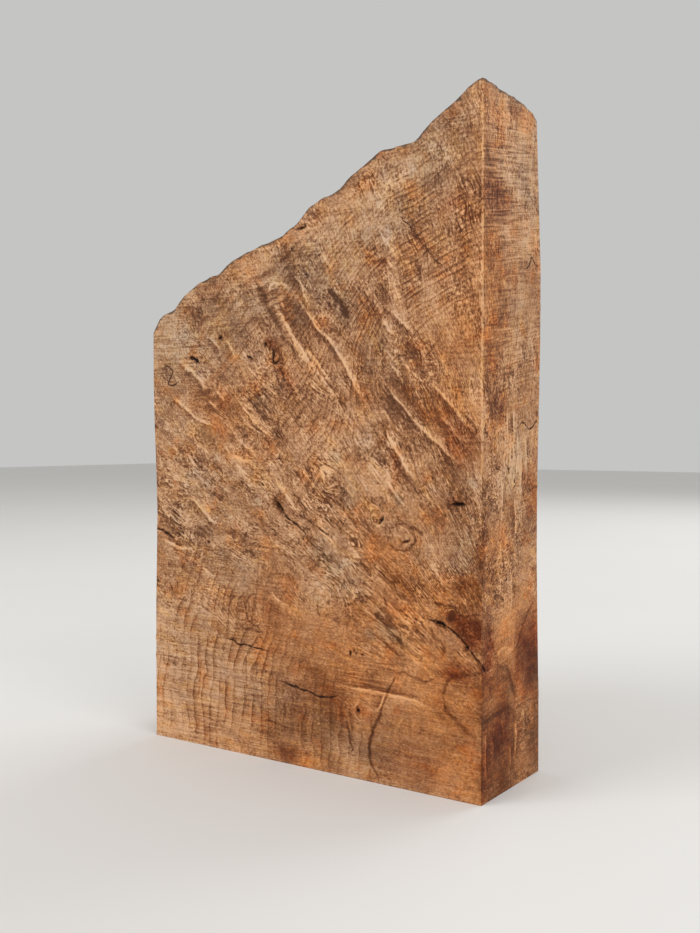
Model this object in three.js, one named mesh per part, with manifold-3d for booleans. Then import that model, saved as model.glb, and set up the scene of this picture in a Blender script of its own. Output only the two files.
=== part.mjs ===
// Maple burl block: a thick slab sawn from a burl and stood on its sawn base.
// Front, base and ends are sawn. The sloping top is the live edge, the burl's own lobed outside.
// Millimetres, +Z up, front face towards -Y, origin at the middle of the base.
import * as THREE from "three";
import { mergeVertices } from "three/addons/utils/BufferGeometryUtils.js";
import Module from "manifold-3d";

// Overall size of the block.
const WIDTH = 191.6;
const THICKNESS = 58.2;
const PEAK_HEIGHT = 305;
const RIGHT_END = WIDTH / 2;
const FRONT_FACE = -THICKNESS / 2;

// Live edge along the front face, left to right. Each lobe starts at a notch (x, z), swells by rise
// above the straight line to the next notch, and leans left where lean is below 1. Behind the front
// face each lobe breaks into a row of knobs, one every knob millimetres.
const LOBES = [
  { x: -RIGHT_END, z: 209.5, rise: 3.6, lean: 0.8, knob: 27 },
  { x: -79.5, z: 221, rise: 4.4, lean: 0.8, knob: 36 },
  { x: -50, z: 236, rise: 3.5, lean: 0.6, knob: 44 },
  { x: -8.3, z: 251, rise: 2.2, lean: 0.4, knob: 15 },
  { x: -0.7, z: 256, rise: 2.6, lean: 0.7, knob: 25 },
  { x: 23.5, z: 269, rise: 4.5, lean: 1.1, knob: 39 },
  { x: 60.5, z: 283.4, rise: 0.5, lean: 1, knob: 30 },
  { x: 86.5, z: 300.5, rise: 1.5, lean: 0.9, knob: 32 },
];
const PEAK = { x: RIGHT_END, z: PEAK_HEIGHT };
const KNOB_VALLEY = 0.7;

// How the live edge changes from the front face to the back.
const LOBE_DRIFT = 7;
const DRIFT_FADE = 40;
const BACK_FALL = 2.4;
const BACK_ROUNDING = 7;
const BACK_ROUNDING_DROP = 3;

// The saw wandered a little through the back: full thickness at two heights, thinner between them.
const BACK_WANDER = 1.6;
const BACK_WANDER_PITCH = 208;
const BACK_WANDER_START = 12;
const BACK_WANDER_LEAN = 0.12;
const BACK_WANE = 2.4;
const BACK_WANE_FROM = 226;
const BACK_WANE_TO = 300;

// The left end is hollowed slightly at mid-height and stands full just below the live edge.
const LEFT_SET_BACK = 1;
const LEFT_HOLLOW = 1.3;
const LEFT_HOLLOW_HEIGHT = 115;
const LEFT_HOLLOW_SPREAD = 28;
const LEFT_FULL_FROM = 140;
const LEFT_FULL_TO = 185;

// Pockets of rotted bark open in the front face: centre (x, z), half length, half width, depth
// and the turn of the long axis from +X, in degrees.
const POCKETS = [
  { x: -12.8, z: 122.5, length: 4.2, width: 1.4, depth: 4, turn: -48 },
  { x: 84.2, z: 127, length: 3.4, width: 1.1, depth: 3, turn: -8 },
  { x: 78.4, z: 73.6, length: 3.6, width: 1.5, depth: 4.5, turn: -24 },
  { x: 87.6, z: 66.2, length: 6.2, width: 1.1, depth: 4, turn: -40 },
];
const POCKET_ROUNDNESS = 2;

// Facets across the block: along its width, its thickness and its height.
const WIDTH_STEPS = 60;
const THICKNESS_STEPS = 11;
const HEIGHT_STEPS = 9;

const BURL_COLOUR = new THREE.Color().setRGB(0.59, 0.4, 0.26, THREE.SRGBColorSpace);

const { clamp, lerp, smoothstep, degToRad } = THREE.MathUtils;

// Height of the lobed outside at x, at a depth behind the front face, before it falls to the back.
function lobeHeight(x, depth) {
  const ends = [...LOBES.slice(1), PEAK];
  const place = clamp(x, -RIGHT_END, RIGHT_END);
  const index = ends.findIndex((end) => place <= end.x);
  const lobe = LOBES[index];
  const end = ends[index];
  const along = (place - lobe.x) / (end.x - lobe.x);
  const knob = 1 - KNOB_VALLEY * (1 - Math.abs(Math.cos((Math.PI * depth) / lobe.knob)));
  const swell = lobe.rise * knob * Math.sin(Math.PI * Math.pow(along, lobe.lean));
  return lerp(lobe.z, end.z, along) + swell;
}

// Height of the live edge at x, at a depth behind the front face.
function liveEdgeHeight(x, depth) {
  const back = depth / THICKNESS;
  const drift = LOBE_DRIFT * Math.sin(Math.PI * back) * smoothstep(RIGHT_END - x, 0, DRIFT_FADE);
  const rounding = Math.max(0, (depth - THICKNESS + BACK_ROUNDING) / BACK_ROUNDING);
  const fall = BACK_FALL * Math.pow(back, 1.5) + BACK_ROUNDING_DROP * rounding * rounding;
  return lobeHeight(x - drift, depth) - fall;
}

// Thickness of the block at x and z, from the front face to the sawn back.
function thicknessAt(x, z) {
  const height = z - BACK_WANDER_START + BACK_WANDER_LEAN * (RIGHT_END - x);
  const wander = BACK_WANDER * (1 - Math.cos((2 * Math.PI * height) / BACK_WANDER_PITCH));
  const wane = BACK_WANE * smoothstep(z, BACK_WANE_FROM, BACK_WANE_TO);
  return THICKNESS - wander - wane;
}

// How far the left end stands in from the full width at z.
function leftInset(z) {
  const hollow = LEFT_HOLLOW * Math.exp(-Math.pow((z - LEFT_HOLLOW_HEIGHT) / LEFT_HOLLOW_SPREAD, 2));
  return LEFT_SET_BACK * (1 - smoothstep(z, LEFT_FULL_FROM, LEFT_FULL_TO)) + hollow;
}

// Block with every vertex of a plain box moved to its place on the sawn faces or the live edge.
function blockGeometry() {
  const geometry = new THREE.BoxGeometry(1, 1, 1, WIDTH_STEPS, THICKNESS_STEPS, HEIGHT_STEPS);
  const places = geometry.attributes.position;
  for (let i = 0; i < places.count; i += 1) {
    const across = places.getX(i) + 0.5;
    const through = places.getY(i) + 0.5;
    const up = places.getZ(i) + 0.5;
    const plainX = (across - 0.5) * WIDTH;
    const z = up * liveEdgeHeight(plainX, through * THICKNESS);
    const x = plainX + leftInset(z) * (1 - across);
    const y = FRONT_FACE + through * thicknessAt(x, z);
    places.setXYZ(i, x, y, z);
  }
  return geometry;
}

// One pocket as a stretched ball, half sunk in the front face.
function pocketGeometry(pocket) {
  const geometry = new THREE.IcosahedronGeometry(1, POCKET_ROUNDNESS);
  geometry.scale(pocket.length, pocket.depth, pocket.width);
  geometry.rotateY(-degToRad(pocket.turn));
  geometry.translate(pocket.x, FRONT_FACE, pocket.z);
  return geometry;
}

// Solid for cutting, from a closed geometry.
function solidFrom(geometry, wasm) {
  geometry.deleteAttribute("normal");
  geometry.deleteAttribute("uv");
  const merged = mergeVertices(geometry);
  const vertProperties = Float32Array.from(merged.attributes.position.array);
  const triVerts = Uint32Array.from(merged.index.array);
  return new wasm.Manifold(new wasm.Mesh({ numProp: 3, vertProperties, triVerts }));
}

// Geometry from a cut solid.
function geometryFrom(solid) {
  const mesh = solid.getMesh();
  const geometry = new THREE.BufferGeometry();
  geometry.setAttribute("position", new THREE.BufferAttribute(mesh.vertProperties, 3));
  geometry.setIndex(new THREE.BufferAttribute(mesh.triVerts, 1));
  geometry.computeVertexNormals();
  return geometry;
}

// The burl block with its bark pockets opened.
async function burlBlock() {
  const wasm = await Module();
  wasm.setup();
  let solid = solidFrom(blockGeometry(), wasm);
  for (const pocket of POCKETS) {
    solid = solid.subtract(solidFrom(pocketGeometry(pocket), wasm));
  }
  const wood = new THREE.MeshStandardMaterial({ color: BURL_COLOUR, roughness: 0.75, metalness: 0 });
  const mesh = new THREE.Mesh(geometryFrom(solid), wood);
  mesh.name = "burl_block";
  return mesh;
}

const burl = new THREE.Group();
burl.add(await burlBlock());

export default burl;
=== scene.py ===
"""A block of maple burl: sawn faces full of figure, and a lobed live edge along its sloping top."""
import logging
import math
from dataclasses import dataclass, field, replace
from enum import Enum
from typing import Any, Iterable, Sequence

import bmesh
import bpy
import numpy as np
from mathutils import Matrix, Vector
from mathutils.bvhtree import BVHTree


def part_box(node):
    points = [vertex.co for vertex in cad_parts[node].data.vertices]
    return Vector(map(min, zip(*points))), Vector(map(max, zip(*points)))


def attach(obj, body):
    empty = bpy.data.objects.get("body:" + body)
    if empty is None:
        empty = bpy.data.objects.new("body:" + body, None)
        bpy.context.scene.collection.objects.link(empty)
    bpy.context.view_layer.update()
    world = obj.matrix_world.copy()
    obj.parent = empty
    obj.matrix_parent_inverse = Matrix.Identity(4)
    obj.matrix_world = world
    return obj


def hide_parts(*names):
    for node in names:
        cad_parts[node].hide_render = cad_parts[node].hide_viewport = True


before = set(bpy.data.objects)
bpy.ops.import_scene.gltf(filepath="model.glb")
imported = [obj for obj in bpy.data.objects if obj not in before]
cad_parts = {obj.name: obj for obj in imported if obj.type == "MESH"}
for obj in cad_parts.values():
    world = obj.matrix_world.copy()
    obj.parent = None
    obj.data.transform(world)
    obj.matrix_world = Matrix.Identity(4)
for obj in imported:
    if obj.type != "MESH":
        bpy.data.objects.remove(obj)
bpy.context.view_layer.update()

LOG = logging.getLogger("burl")
MM = 0.001
NODE = "burl_block"

Point = tuple[float, float]
Colour = tuple[float, float, float]


class Side(Enum):
    """The six sides of the block, in the order of their lattices."""

    FRONT = 0
    BACK = 1
    LEFT = 2
    RIGHT = 3
    BASE = 4
    LIVE_EDGE = 5


class Tone(Enum):
    """Kinds of patch in the wood, as places in the patch attributes."""

    WARM = 0
    COOL = 1
    RUST = 2
    DARK = 3
    PALE = 4
    SAWN = 5
    FLECKED = 6
    CURLED = 7
    RINGED = 8
    CALM = 9
    SPECKED = 10


# The mesh attributes that hold tones, three in each.
TONE_ATTRIBUTES = {
    "tint": (Tone.WARM, Tone.COOL, Tone.RUST),
    "depth": (Tone.DARK, Tone.PALE, Tone.SAWN),
    "figure": (Tone.FLECKED, Tone.CURLED, Tone.RINGED),
}


class Wire:
    """One output of a shader or geometry tree, with arithmetic that adds Math nodes."""

    def __init__(self, tree: "NodeTree", socket: bpy.types.NodeSocket) -> None:
        """Keeps the socket and the tree it belongs to."""
        self.tree = tree
        self.socket = socket

    def math(self, operation: str, *others: Any, clamp: bool = False) -> "Wire":
        """Adds one Math node.

        Args:
            operation: The Math node's operation.
            others: The further operands, wires or numbers.
            clamp: Whether the result is held between 0 and 1.

        Returns:
            The result.
        """
        settings = {"operation": operation, "use_clamp": clamp}
        return self.tree.node("ShaderNodeMath", settings, dict(enumerate((self, *others))))

    def __add__(self, other: Any) -> "Wire":
        """Sum."""
        return self.math("ADD", other)

    __radd__ = __add__

    def __sub__(self, other: Any) -> "Wire":
        """Difference."""
        return self.math("SUBTRACT", other)

    def __rsub__(self, other: float) -> "Wire":
        """Difference from a number."""
        return self.tree.node("ShaderNodeMath", {"operation": "SUBTRACT"}, {0: other, 1: self})

    def __mul__(self, other: Any) -> "Wire":
        """Product."""
        return self.math("MULTIPLY", other)

    __rmul__ = __mul__

    def __truediv__(self, other: Any) -> "Wire":
        """Quotient."""
        return self.math("DIVIDE", other)

    def __rtruediv__(self, other: float) -> "Wire":
        """Quotient of a number."""
        return self.tree.node("ShaderNodeMath", {"operation": "DIVIDE"}, {0: other, 1: self})

    def __abs__(self) -> "Wire":
        """Size without sign."""
        return self.math("ABSOLUTE")

    def held(self) -> "Wire":
        """The value held between 0 and 1."""
        return self.math("ADD", 0.0, clamp=True)

    def step(self, start: Any, end: Any) -> "Wire":
        """Smooth step.

        Args:
            start: Where the result is 0.
            end: Where the result is 1, above or below start.

        Returns:
            A value from 0 to 1.
        """
        values = {"Value": self, "From Min": start, "From Max": end}
        return self.tree.node("ShaderNodeMapRange", {"interpolation_type": "SMOOTHSTEP"}, values)

    def parts(self) -> tuple["Wire", "Wire", "Wire"]:
        """The three numbers of a vector."""
        split = self.tree.node("ShaderNodeSeparateXYZ", {}, {0: self})
        return tuple(Wire(self.tree, s) for s in split.socket.node.outputs)


class NodeTree:
    """A node tree that is filled from Python expressions."""

    def __init__(self, tree: bpy.types.NodeTree) -> None:
        """Empties the tree and keeps it."""
        self.tree = tree
        self.tree.nodes.clear()

    def node(
        self,
        kind: str,
        settings: dict[str, Any] | None = None,
        values: dict[Any, Any] | None = None,
        output: str | int = 0,
    ) -> Wire:
        """Adds one node.

        Args:
            kind: The node's type.
            settings: Its properties, set first. A ramp's stops are given as stops.
            values: Socket names or numbers, each with a wire or a plain value.
            output: Which output comes back.

        Returns:
            That output as a wire.
        """
        node = self.tree.nodes.new(kind)
        for name, value in (settings or {}).items():
            if name == "stops":
                self._set_stops(node.color_ramp, value)
            else:
                setattr(node, name, value)
        for key, value in (values or {}).items():
            socket = node.inputs[key]
            if isinstance(value, Wire):
                self.tree.links.new(value.socket, socket)
            else:
                socket.default_value = value
        if not node.outputs:
            return Wire(self, None)
        return Wire(self, node.outputs[output])

    @staticmethod
    def _set_stops(ramp: bpy.types.ColorRamp, stops: Sequence[tuple[float, Colour]]) -> None:
        """Gives a ramp its stops.

        Args:
            ramp: The ramp.
            stops: Places and colours, from low to high.
        """
        while len(ramp.elements) < len(stops):
            ramp.elements.new(1.0)
        for element, (place, colour) in zip(ramp.elements, stops):
            element.position = place
            element.color = (*colour, 1.0)

    def vector(self, x: Any, y: Any, z: Any) -> Wire:
        """A vector from three numbers."""
        return self.node("ShaderNodeCombineXYZ", {}, {0: x, 1: y, 2: z})

    def scaled(self, vector: Wire, factors: Any) -> Wire:
        """A vector with each of its parts multiplied."""
        return self.node("ShaderNodeVectorMath", {"operation": "MULTIPLY"}, {0: vector, 1: factors})

    def noise(self, place: Wire, scale: float, detail: float = 2.0, rough: float = 0.5) -> Wire:
        """Cloudy noise around 0.

        Args:
            place: Where it is read.
            scale: Clouds to one unit of place.
            detail: Octaves of finer noise.
            rough: How strong the finer noise is.

        Returns:
            Noise between about -0.5 and 0.5.
        """
        values = {"Vector": place, "Scale": scale, "Detail": detail, "Roughness": rough}
        return self.node("ShaderNodeTexNoise", {}, values) - 0.5

    def mix(self, share: Any, first: Any, second: Any, blend: str = "MIX") -> Wire:
        """One colour blended into another.

        Args:
            share: How much of the second shows.
            first: The colour underneath.
            second: The colour on top.
            blend: The blend's name.

        Returns:
            The mixed colour.
        """
        settings = {"data_type": "RGBA", "blend_type": blend, "clamp_factor": True}
        colours = [c if isinstance(c, Wire) else (*c, 1.0) for c in (first, second)]
        values = {"Factor": share, 6: colours[0], 7: colours[1]}
        return self.node("ShaderNodeMix", settings, values, output=2)


class Shader(NodeTree):
    """The node tree of one material."""

    def __init__(self, name: str) -> None:
        """Makes the material and empties its tree.

        Args:
            name: The material's name.
        """
        self.material = bpy.data.materials.new(name)
        self.material.use_nodes = True
        super().__init__(self.material.node_tree)

    def attribute(self, name: str) -> Wire:
        """A vector stored on the mesh."""
        return self.node("ShaderNodeAttribute", {"attribute_name": name}, output="Vector")

    def millimetres(self) -> Wire:
        """The place on the object, in millimetres."""
        place = self.node("ShaderNodeTexCoord", output="Object")
        return self.scaled(place, (1 / MM,) * 3)

    def finish(self, colour: Wire, roughness: Any, height: Wire, relief: float) -> bpy.types.Material:
        """Adds the surface shader.

        Args:
            colour: The base colour.
            roughness: How matt it is.
            height: Fine relief, in millimetres.
            relief: Strength of the fine relief.

        Returns:
            The finished material.
        """
        bump = self.node("ShaderNodeBump", {}, {"Strength": relief, "Distance": MM, "Height": height})
        values = {"Base Color": colour, "Roughness": roughness, "Normal": bump, "Specular IOR Level": 0.12}
        surface = self.node("ShaderNodeBsdfPrincipled", {}, values)
        self.node("ShaderNodeOutputMaterial", {}, {"Surface": surface})
        return self.material


@dataclass(frozen=True)
class Feather:
    """A pale streak, the trace of a bud cut lengthwise, often dark along one flank.

    Points run in millimetres across a side. A flank above 0 lies on the left of the run.
    """

    points: tuple[Point, ...]
    width: float = 0.7
    pale: float = 0.7
    flank: float = 0.5


@dataclass(frozen=True)
class Fissure:
    """A dark line: a drying crack with some depth and painted shade inside, or the flat line of a decayed
    zone.
    """

    points: tuple[Point, ...]
    width: float = 0.35
    dark: float = 0.8
    depth: float = 0.0


@dataclass(frozen=True)
class Pit:
    """A small hole where bark or rot has fallen out, painted near black as the shade inside it."""

    x: float
    z: float
    length: float
    width: float
    turn: float = 0.0
    depth: float = 1.5


@dataclass(frozen=True)
class Stain:
    """A soft patch of another tone, as a turned ellipse."""

    tone: Tone
    x: float
    z: float
    length: float
    width: float
    turn: float = 0.0
    strength: float = 1.0


@dataclass(frozen=True)
class Figure:
    """All that is drawn on one side of the block."""

    feathers: tuple[Feather, ...] = ()
    fissures: tuple[Fissure, ...] = ()
    pits: tuple[Pit, ...] = ()
    stains: tuple[Stain, ...] = ()


def stains(tone: Tone, *rows: tuple[float, ...]) -> tuple[Stain, ...]:
    """Stains of one tone, each row giving x, z, length, width, turn and strength."""
    return tuple(Stain(tone, *row) for row in rows)


FRONT_FIGURE = Figure(
    feathers=(
        Feather(((-17.5, 224.5), (-14, 218), (-10, 213), (-7, 208), (-1, 200), (6, 191), (14, 182),
                 (20, 174.5), (31, 160)), 0.9, 0.75, 0.5),
        Feather(((-18.2, 223), (-18, 227), (-16, 229.3), (-12, 229), (-8, 227.6),
                 (-4, 225)), 0.9, 0.75, 0.0),
        Feather(((-12, 223), (-10.5, 219), (-8.5, 215.5)), 0.7, 0.6, 0.5),
        Feather(((2, 199.5), (8, 193), (13, 187), (18, 181), (22, 175)), 0.45, 0.9, 0.6),
        Feather(((-4, 225), (-1, 221), (3, 215), (7, 210.5), (12, 204.5), (17, 201), (23, 192.5),
                 (27, 187), (30, 181), (36, 170), (39.5, 163)), 0.7, 0.8, -0.8),
        Feather(((-5.5, 234), (-1, 229), (1, 226), (4, 219.5), (8, 213)), 0.55, 0.75, -0.5),
        Feather(((44, 247), (48, 242), (52, 237), (55, 232)), 0.8, 0.7, -0.2),
        Feather(((47, 236), (50, 232), (53, 228)), 0.6, 0.6, -0.2),
        Feather(((12, 241), (16, 236), (20, 231)), 0.7, 0.6, -0.2),
        Feather(((46, 216), (52, 210), (58, 205), (64, 199)), 0.6, 0.6, -0.5),
        Feather(((45.5, 208.5), (49, 204), (53, 200)), 0.55, 0.8, -0.3),
        Feather(((45, 181), (50, 177), (56, 170), (61, 165), (66, 160), (72, 155), (78, 150), (83, 146),
                 (90, 139)), 0.65, 0.85, -0.6),
        Feather(((70, 180), (76, 175), (82, 168), (88, 162), (95.5, 155)), 0.6, 0.75, -0.7),
        Feather(((48, 160), (50, 155), (54, 149), (58, 143), (61, 139), (65, 135)), 1.1, 0.95, -0.6),
        Feather(((50, 189), (53, 186), (55, 182), (58, 178)), 0.7, 0.7, -0.3),
        Feather(((44, 170), (48, 166), (52, 161), (55.5, 157.5)), 0.6, 0.7, 0.3),
        Feather(((57, 188), (62, 184), (69, 178)), 0.6, 0.75, -0.4),
        Feather(((46, 196), (52, 190), (57, 186)), 0.6, 0.5, -0.3),
        Feather(((75, 165), (80, 161), (85, 155), (89, 151)), 0.6, 0.65, -0.5),
        Feather(((48, 137), (52, 132), (58, 126), (61, 124)), 0.7, 0.7, 0.4),
        Feather(((-77.5, 195), (-72, 191), (-66, 187), (-60, 181), (-57, 178.5)), 1.0, 0.8, -0.4),
        Feather(((-57, 206.5), (-53, 203), (-49, 199)), 0.55, 0.85, -0.8),
        Feather(((-46, 204), (-43, 200), (-38, 193)), 0.5, 0.7, -0.3),
        Feather(((-35, 198), (-31.8, 193.5)), 0.6, 0.8, 0.0),
        Feather(((-83, 177.5), (-77, 173), (-72, 170.5), (-67, 166), (-62, 164), (-55, 162),
                 (-49.5, 159)), 0.65, 0.85, -0.6),
        Feather(((-70, 166), (-66, 162), (-61, 159)), 0.6, 0.6, 0.3),
        Feather(((-52, 179), (-46, 173)), 0.7, 0.7, -0.3),
        Feather(((-58, 174), (-51, 169.5)), 0.6, 0.6, -0.3),
        Feather(((-39, 174.5), (-33, 169), (-26, 162), (-13, 154)), 0.6, 0.75, -0.8),
        Feather(((-34, 173), (-28, 168)), 0.5, 0.6, -0.5),
        Feather(((-36, 167), (-31, 162), (-26, 158.5)), 0.6, 0.6, -0.5),
        Feather(((-43, 160), (-37, 154), (-31, 150), (-25, 146)), 0.6, 0.6, -0.4),
        Feather(((-82, 152), (-78, 148), (-74, 145)), 0.8, 0.75, 0.3),
        Feather(((-75, 148), (-70, 146), (-66, 142), (-60, 138)), 0.8, 0.6, 0.3),
        Feather(((-65, 153), (-60, 149), (-56, 147)), 0.7, 0.6, 0.3),
        Feather(((-41, 147.5), (-35, 145), (-30, 144)), 0.9, 0.85, 0.3),
        Feather(((-40, 143), (-34, 139), (-30, 136)), 0.8, 0.7, 0.3),
        Feather(((-71, 126), (-65, 122), (-60, 118), (-55, 114), (-50, 110)), 0.8, 0.9, -0.7),
        Feather(((-90, 103.5), (-84, 101.5), (-78, 99.5), (-70, 99.5), (-63, 102)), 0.7, 0.8, 0.4),
        Feather(((-46, 108), (-41, 106), (-36, 106)), 0.6, 0.6, 0.3),
        Feather(((-62, 91), (-57, 87.5), (-52, 86)), 0.6, 0.6, 0.4),
        Feather(((-18, 82), (-12, 77.5), (-6, 74)), 0.7, 0.7, 0.3),
        Feather(((-14, 135), (-8, 128), (-3, 122), (3, 118)), 1.1, 0.7, -0.4),
        Feather(((20, 126), (25, 121), (30, 117)), 0.5, 0.7, 0.3),
        Feather(((30, 104), (35, 101)), 0.5, 0.8, 0.3),
        Feather(((27, 41.6), (39, 41.5), (50, 41), (56, 41.3), (61, 40.5), (65, 40), (68, 38.6),
                 (73, 39)), 0.5, 0.85, 0.7),
        Feather(((47.6, 41), (45.5, 36), (43.4, 31.5)), 0.7, 0.85, -0.6),
    ),
    fissures=(
        Fissure(((-27, 231), (-22, 224), (-20, 219), (-16, 214.5), (-12, 209), (-9, 204),
                 (-3, 196)), 1.7, 0.8),
        Fissure(((-2, 221), (2, 215.5), (6, 210.8)), 0.35, 0.6),
        Fissure(((1, 220), (5, 214), (9, 210)), 0.35, 0.6),
        Fissure(((-16.5, 199), (-15.5, 196), (-16, 193), (-14.5, 191), (-12.5, 192.5)), 0.45, 0.85, 0.3),
        Fissure(((-13, 191), (-10, 186), (-8, 181), (-5, 179)), 0.5, 0.8),
        Fissure(((-19.5, 203), (-17.5, 200), (-18.2, 197)), 0.5, 0.8),
        Fissure(((-13.6, 199), (-12, 195), (-13, 191.5)), 0.45, 0.8),
        Fissure(((-11.6, 197), (-10, 191), (-10.8, 186)), 0.5, 0.75),
        Fissure(((-7, 184), (-5.6, 180), (-4, 177)), 0.5, 0.7),
        Fissure(((-16, 190), (-13, 184), (-9, 177)), 0.5, 0.55),
        Fissure(((-8, 188), (-6, 184), (-4, 181)), 0.35, 0.55),
        Fissure(((-87, 192.6), (-83.5, 191), (-81.8, 188.5), (-84, 185.5), (-84.6, 183), (-80.5, 182.6),
                 (-77, 184.6)), 0.28, 0.7, 0.2),
        Fissure(((-70, 196), (-67, 195.6), (-64, 193.4)), 0.9, 1.0, 1.2),
        Fissure(((55.5, 252.3), (61, 246.5), (65.5, 241), (72, 233), (79, 226)), 0.25, 0.75, 0.2),
        Fissure(((83, 168.5), (88, 164), (95, 157)), 0.4, 0.6),
        Fissure(((-9.5, 119.5), (-6, 116.5), (-2, 114.5), (1, 112.5), (3.5, 109.5)), 0.45, 0.8, 0.3),
        Fissure(((-94.5, 108.8), (-91, 108.2), (-87, 106.8), (-83, 104.6),
                 (-80.5, 104.4)), 0.5, 0.85, 0.5),
        Fissure(((-46, 56), (-41, 55.2), (-37.5, 54), (-33, 54), (-28, 53.5), (-24, 53),
                 (-19.5, 52)), 0.32, 0.9, 0.4),
        Fissure(((-12.5, 39.3), (-9, 38.7), (-5, 37.4), (-2, 37.7), (1, 36.4), (5, 36.6), (9.7, 34.9),
                 (13.4, 34.8), (18, 35.4), (22.5, 37)), 0.34, 0.95, 0.5),
        Fissure(((-50, 78.5), (-47, 77.4), (-43, 77), (-39.5, 77.2)), 0.35, 0.7),
        Fissure(((-41, 77), (-43.5, 73), (-44.5, 68), (-44.6, 60)), 0.35, 0.5),
        Fissure(((-26, 80), (-31, 78), (-33, 73), (-32.5, 68), (-30.5, 65.5), (-25, 63.5)), 0.5, 0.55),
        Fissure(((-37, 97.6), (-34, 99.6), (-31, 100.4), (-26, 97)), 0.7, 0.55),
        Fissure(((-88, 90.5), (-82, 90.5), (-75, 89), (-68, 86.5)), 0.8, 0.4),
        Fissure(((-37, 63), (-33, 62), (-29.5, 62.5), (-24, 60.5)), 0.6, 0.55),
        Fissure(((-63, 44), (-63.5, 36), (-64, 28), (-67, 22)), 0.4, 0.5),
        Fissure(((-45.5, 34), (-46, 27)), 0.4, 0.6),
        Fissure(((-33, 50), (-33, 42), (-33.5, 34)), 0.4, 0.5),
        Fissure(((-26, 44), (-27, 38), (-24.5, 34)), 0.5, 0.5),
        Fissure(((-9, 30), (-9, 22)), 0.5, 0.5),
        Fissure(((-89, 47), (-89, 38)), 0.4, 0.5),
        Fissure(((-82, 46), (-82, 36)), 0.4, 0.5),
        Fissure(((-21, 19), (-16, 19.3), (-12, 18), (-5, 16.5)), 0.4, 0.6),
        Fissure(((-32, 30), (-27, 29.6), (-22, 30.2)), 0.5, 0.5),
        Fissure(((-94, 51), (-75, 50.5), (-60, 50.7), (-45, 50)), 0.25, 0.55),
        Fissure(((-94, 42.5), (-80, 42.8), (-66, 43)), 0.25, 0.5),
        Fissure(((-90, 13.5), (-78, 14), (-66, 13.8)), 0.25, 0.55),
        Fissure(((-60, 14), (-50, 13.8), (-46, 13.6)), 0.3, 0.65),
        Fissure(((53, 50.5), (51.5, 47), (49, 41.5), (46.5, 36), (44.5, 30.5), (42, 25), (39.8, 20.5),
                 (39, 15), (39.5, 10), (42, 6), (44.5, 1)), 0.7, 0.8),
        Fissure(((25.7, 26.2), (27.5, 22), (28.3, 18), (29.5, 14.5), (29.5, 12)), 0.5, 0.75),
        Fissure(((91, 54.8), (87, 54.2), (82, 53), (79, 49.5), (77.5, 45), (77.5, 41.5)), 0.7, 0.55),
        Fissure(((77.5, 41.5), (80, 37.5), (85, 34), (92, 28.5)), 1.0, 0.55),
        Fissure(((53, 51), (58, 51.8), (62, 50.4), (66, 49.4), (70, 50), (74, 52.5)), 0.5, 0.55),
        Fissure(((79, 74.5), (80.5, 73.9), (81.7, 72.6), (83.4, 71.6), (85, 70.6), (86.6, 69.6),
                 (87.4, 68.2), (88.3, 66.9), (89.6, 66.2)), 0.28, 1.0, 1.2),
        Fissure(((89.6, 66.2), (90.8, 64.6), (92.2, 63.2), (95.8, 60.4)), 0.35, 0.8, 0.4),
        Fissure(((79.6, 77.6), (81.2, 78.2), (82, 79.6), (82.4, 81.6)), 1.3, 0.95),
        Fissure(((69, 76.8), (71.5, 76.4), (74, 76.2)), 0.5, 0.7),
        Fissure(((72.5, 83.4), (75, 83.8), (78, 83), (81, 84), (82.6, 82.8), (84, 81), (86, 79.8),
                 (87.8, 79)), 0.8, 0.8),
        Fissure(((87.8, 79), (89.5, 80.3), (92.5, 80.6), (95.6, 81)), 0.4, 0.7),
        Fissure(((72, 74), (72.2, 71), (73.6, 68.4), (76, 67.2), (77.2, 65), (77, 61)), 0.7, 0.55),
        Fissure(((78, 54.5), (82, 53.6), (86, 53.8), (90, 55), (95.5, 56.6)), 0.8, 0.4),
        Fissure(((28.5, 110.3), (31, 108.4), (33.2, 105.7)), 1.0, 0.7),
        Fissure(((31.2, 101), (35, 98.6), (38.5, 95.7), (40.5, 93)), 0.9, 0.75),
        Fissure(((41.9, 77), (46, 73.6), (49.9, 70.3), (54, 67), (57.2, 63.7)), 1.2, 0.75),
        Fissure(((49.9, 131.7), (53.4, 129), (56.5, 125.7)), 0.8, 0.6),
        Fissure(((60.5, 117), (64, 115.6), (67.2, 113)), 0.7, 0.7),
        Fissure(((60.5, 95.7), (63, 92), (65.9, 89)), 0.8, 0.6),
        Fissure(((10.5, 82.3), (10.2, 77), (11.2, 71.7)), 0.5, 0.7),
        Fissure(((20.5, 133), (23.4, 132.2), (26.5, 130.3)), 0.8, 0.6),
        Fissure(((3.5, 109.5), (6, 106.8), (9, 104.6)), 0.6, 0.5),
        Fissure(((38, 69), (43, 66.5), (48, 64), (56, 58.5)), 0.7, 0.6),
        Fissure(((44, 80), (48, 77), (51, 73.5), (56, 68)), 0.8, 0.5),
        Fissure(((47, 84), (48.5, 79), (52, 74.5)), 0.7, 0.6),
        Fissure(((50, 70), (54, 66), (57, 62)), 0.6, 0.5),
        Fissure(((28, 79), (33, 83), (38, 84), (42, 82)), 0.7, 0.4),
        Fissure(((62, 114.5), (63, 110.5), (60.5, 107), (56.5, 105.6), (52, 106.5),
                 (49.5, 109)), 0.6, 0.65),
        Fissure(((50.5, 115.5), (55, 117.5), (60, 116.5), (62.5, 114)), 0.5, 0.45),
        Fissure(((46, 121.5), (46.3, 119), (44, 117)), 0.6, 0.75),
        Fissure(((39, 119), (41, 123), (45, 123.5)), 0.4, 0.45),
        Fissure(((45, 183), (46.5, 186.5), (50, 188), (54, 191.5), (58, 191.5), (60, 189)), 0.35, 0.55),
        Fissure(((20, 174.5), (24, 171.5), (27, 169)), 0.9, 0.6),
        Fissure(((20, 163.5), (23, 162.5), (25.5, 164)), 0.4, 0.6),
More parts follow.
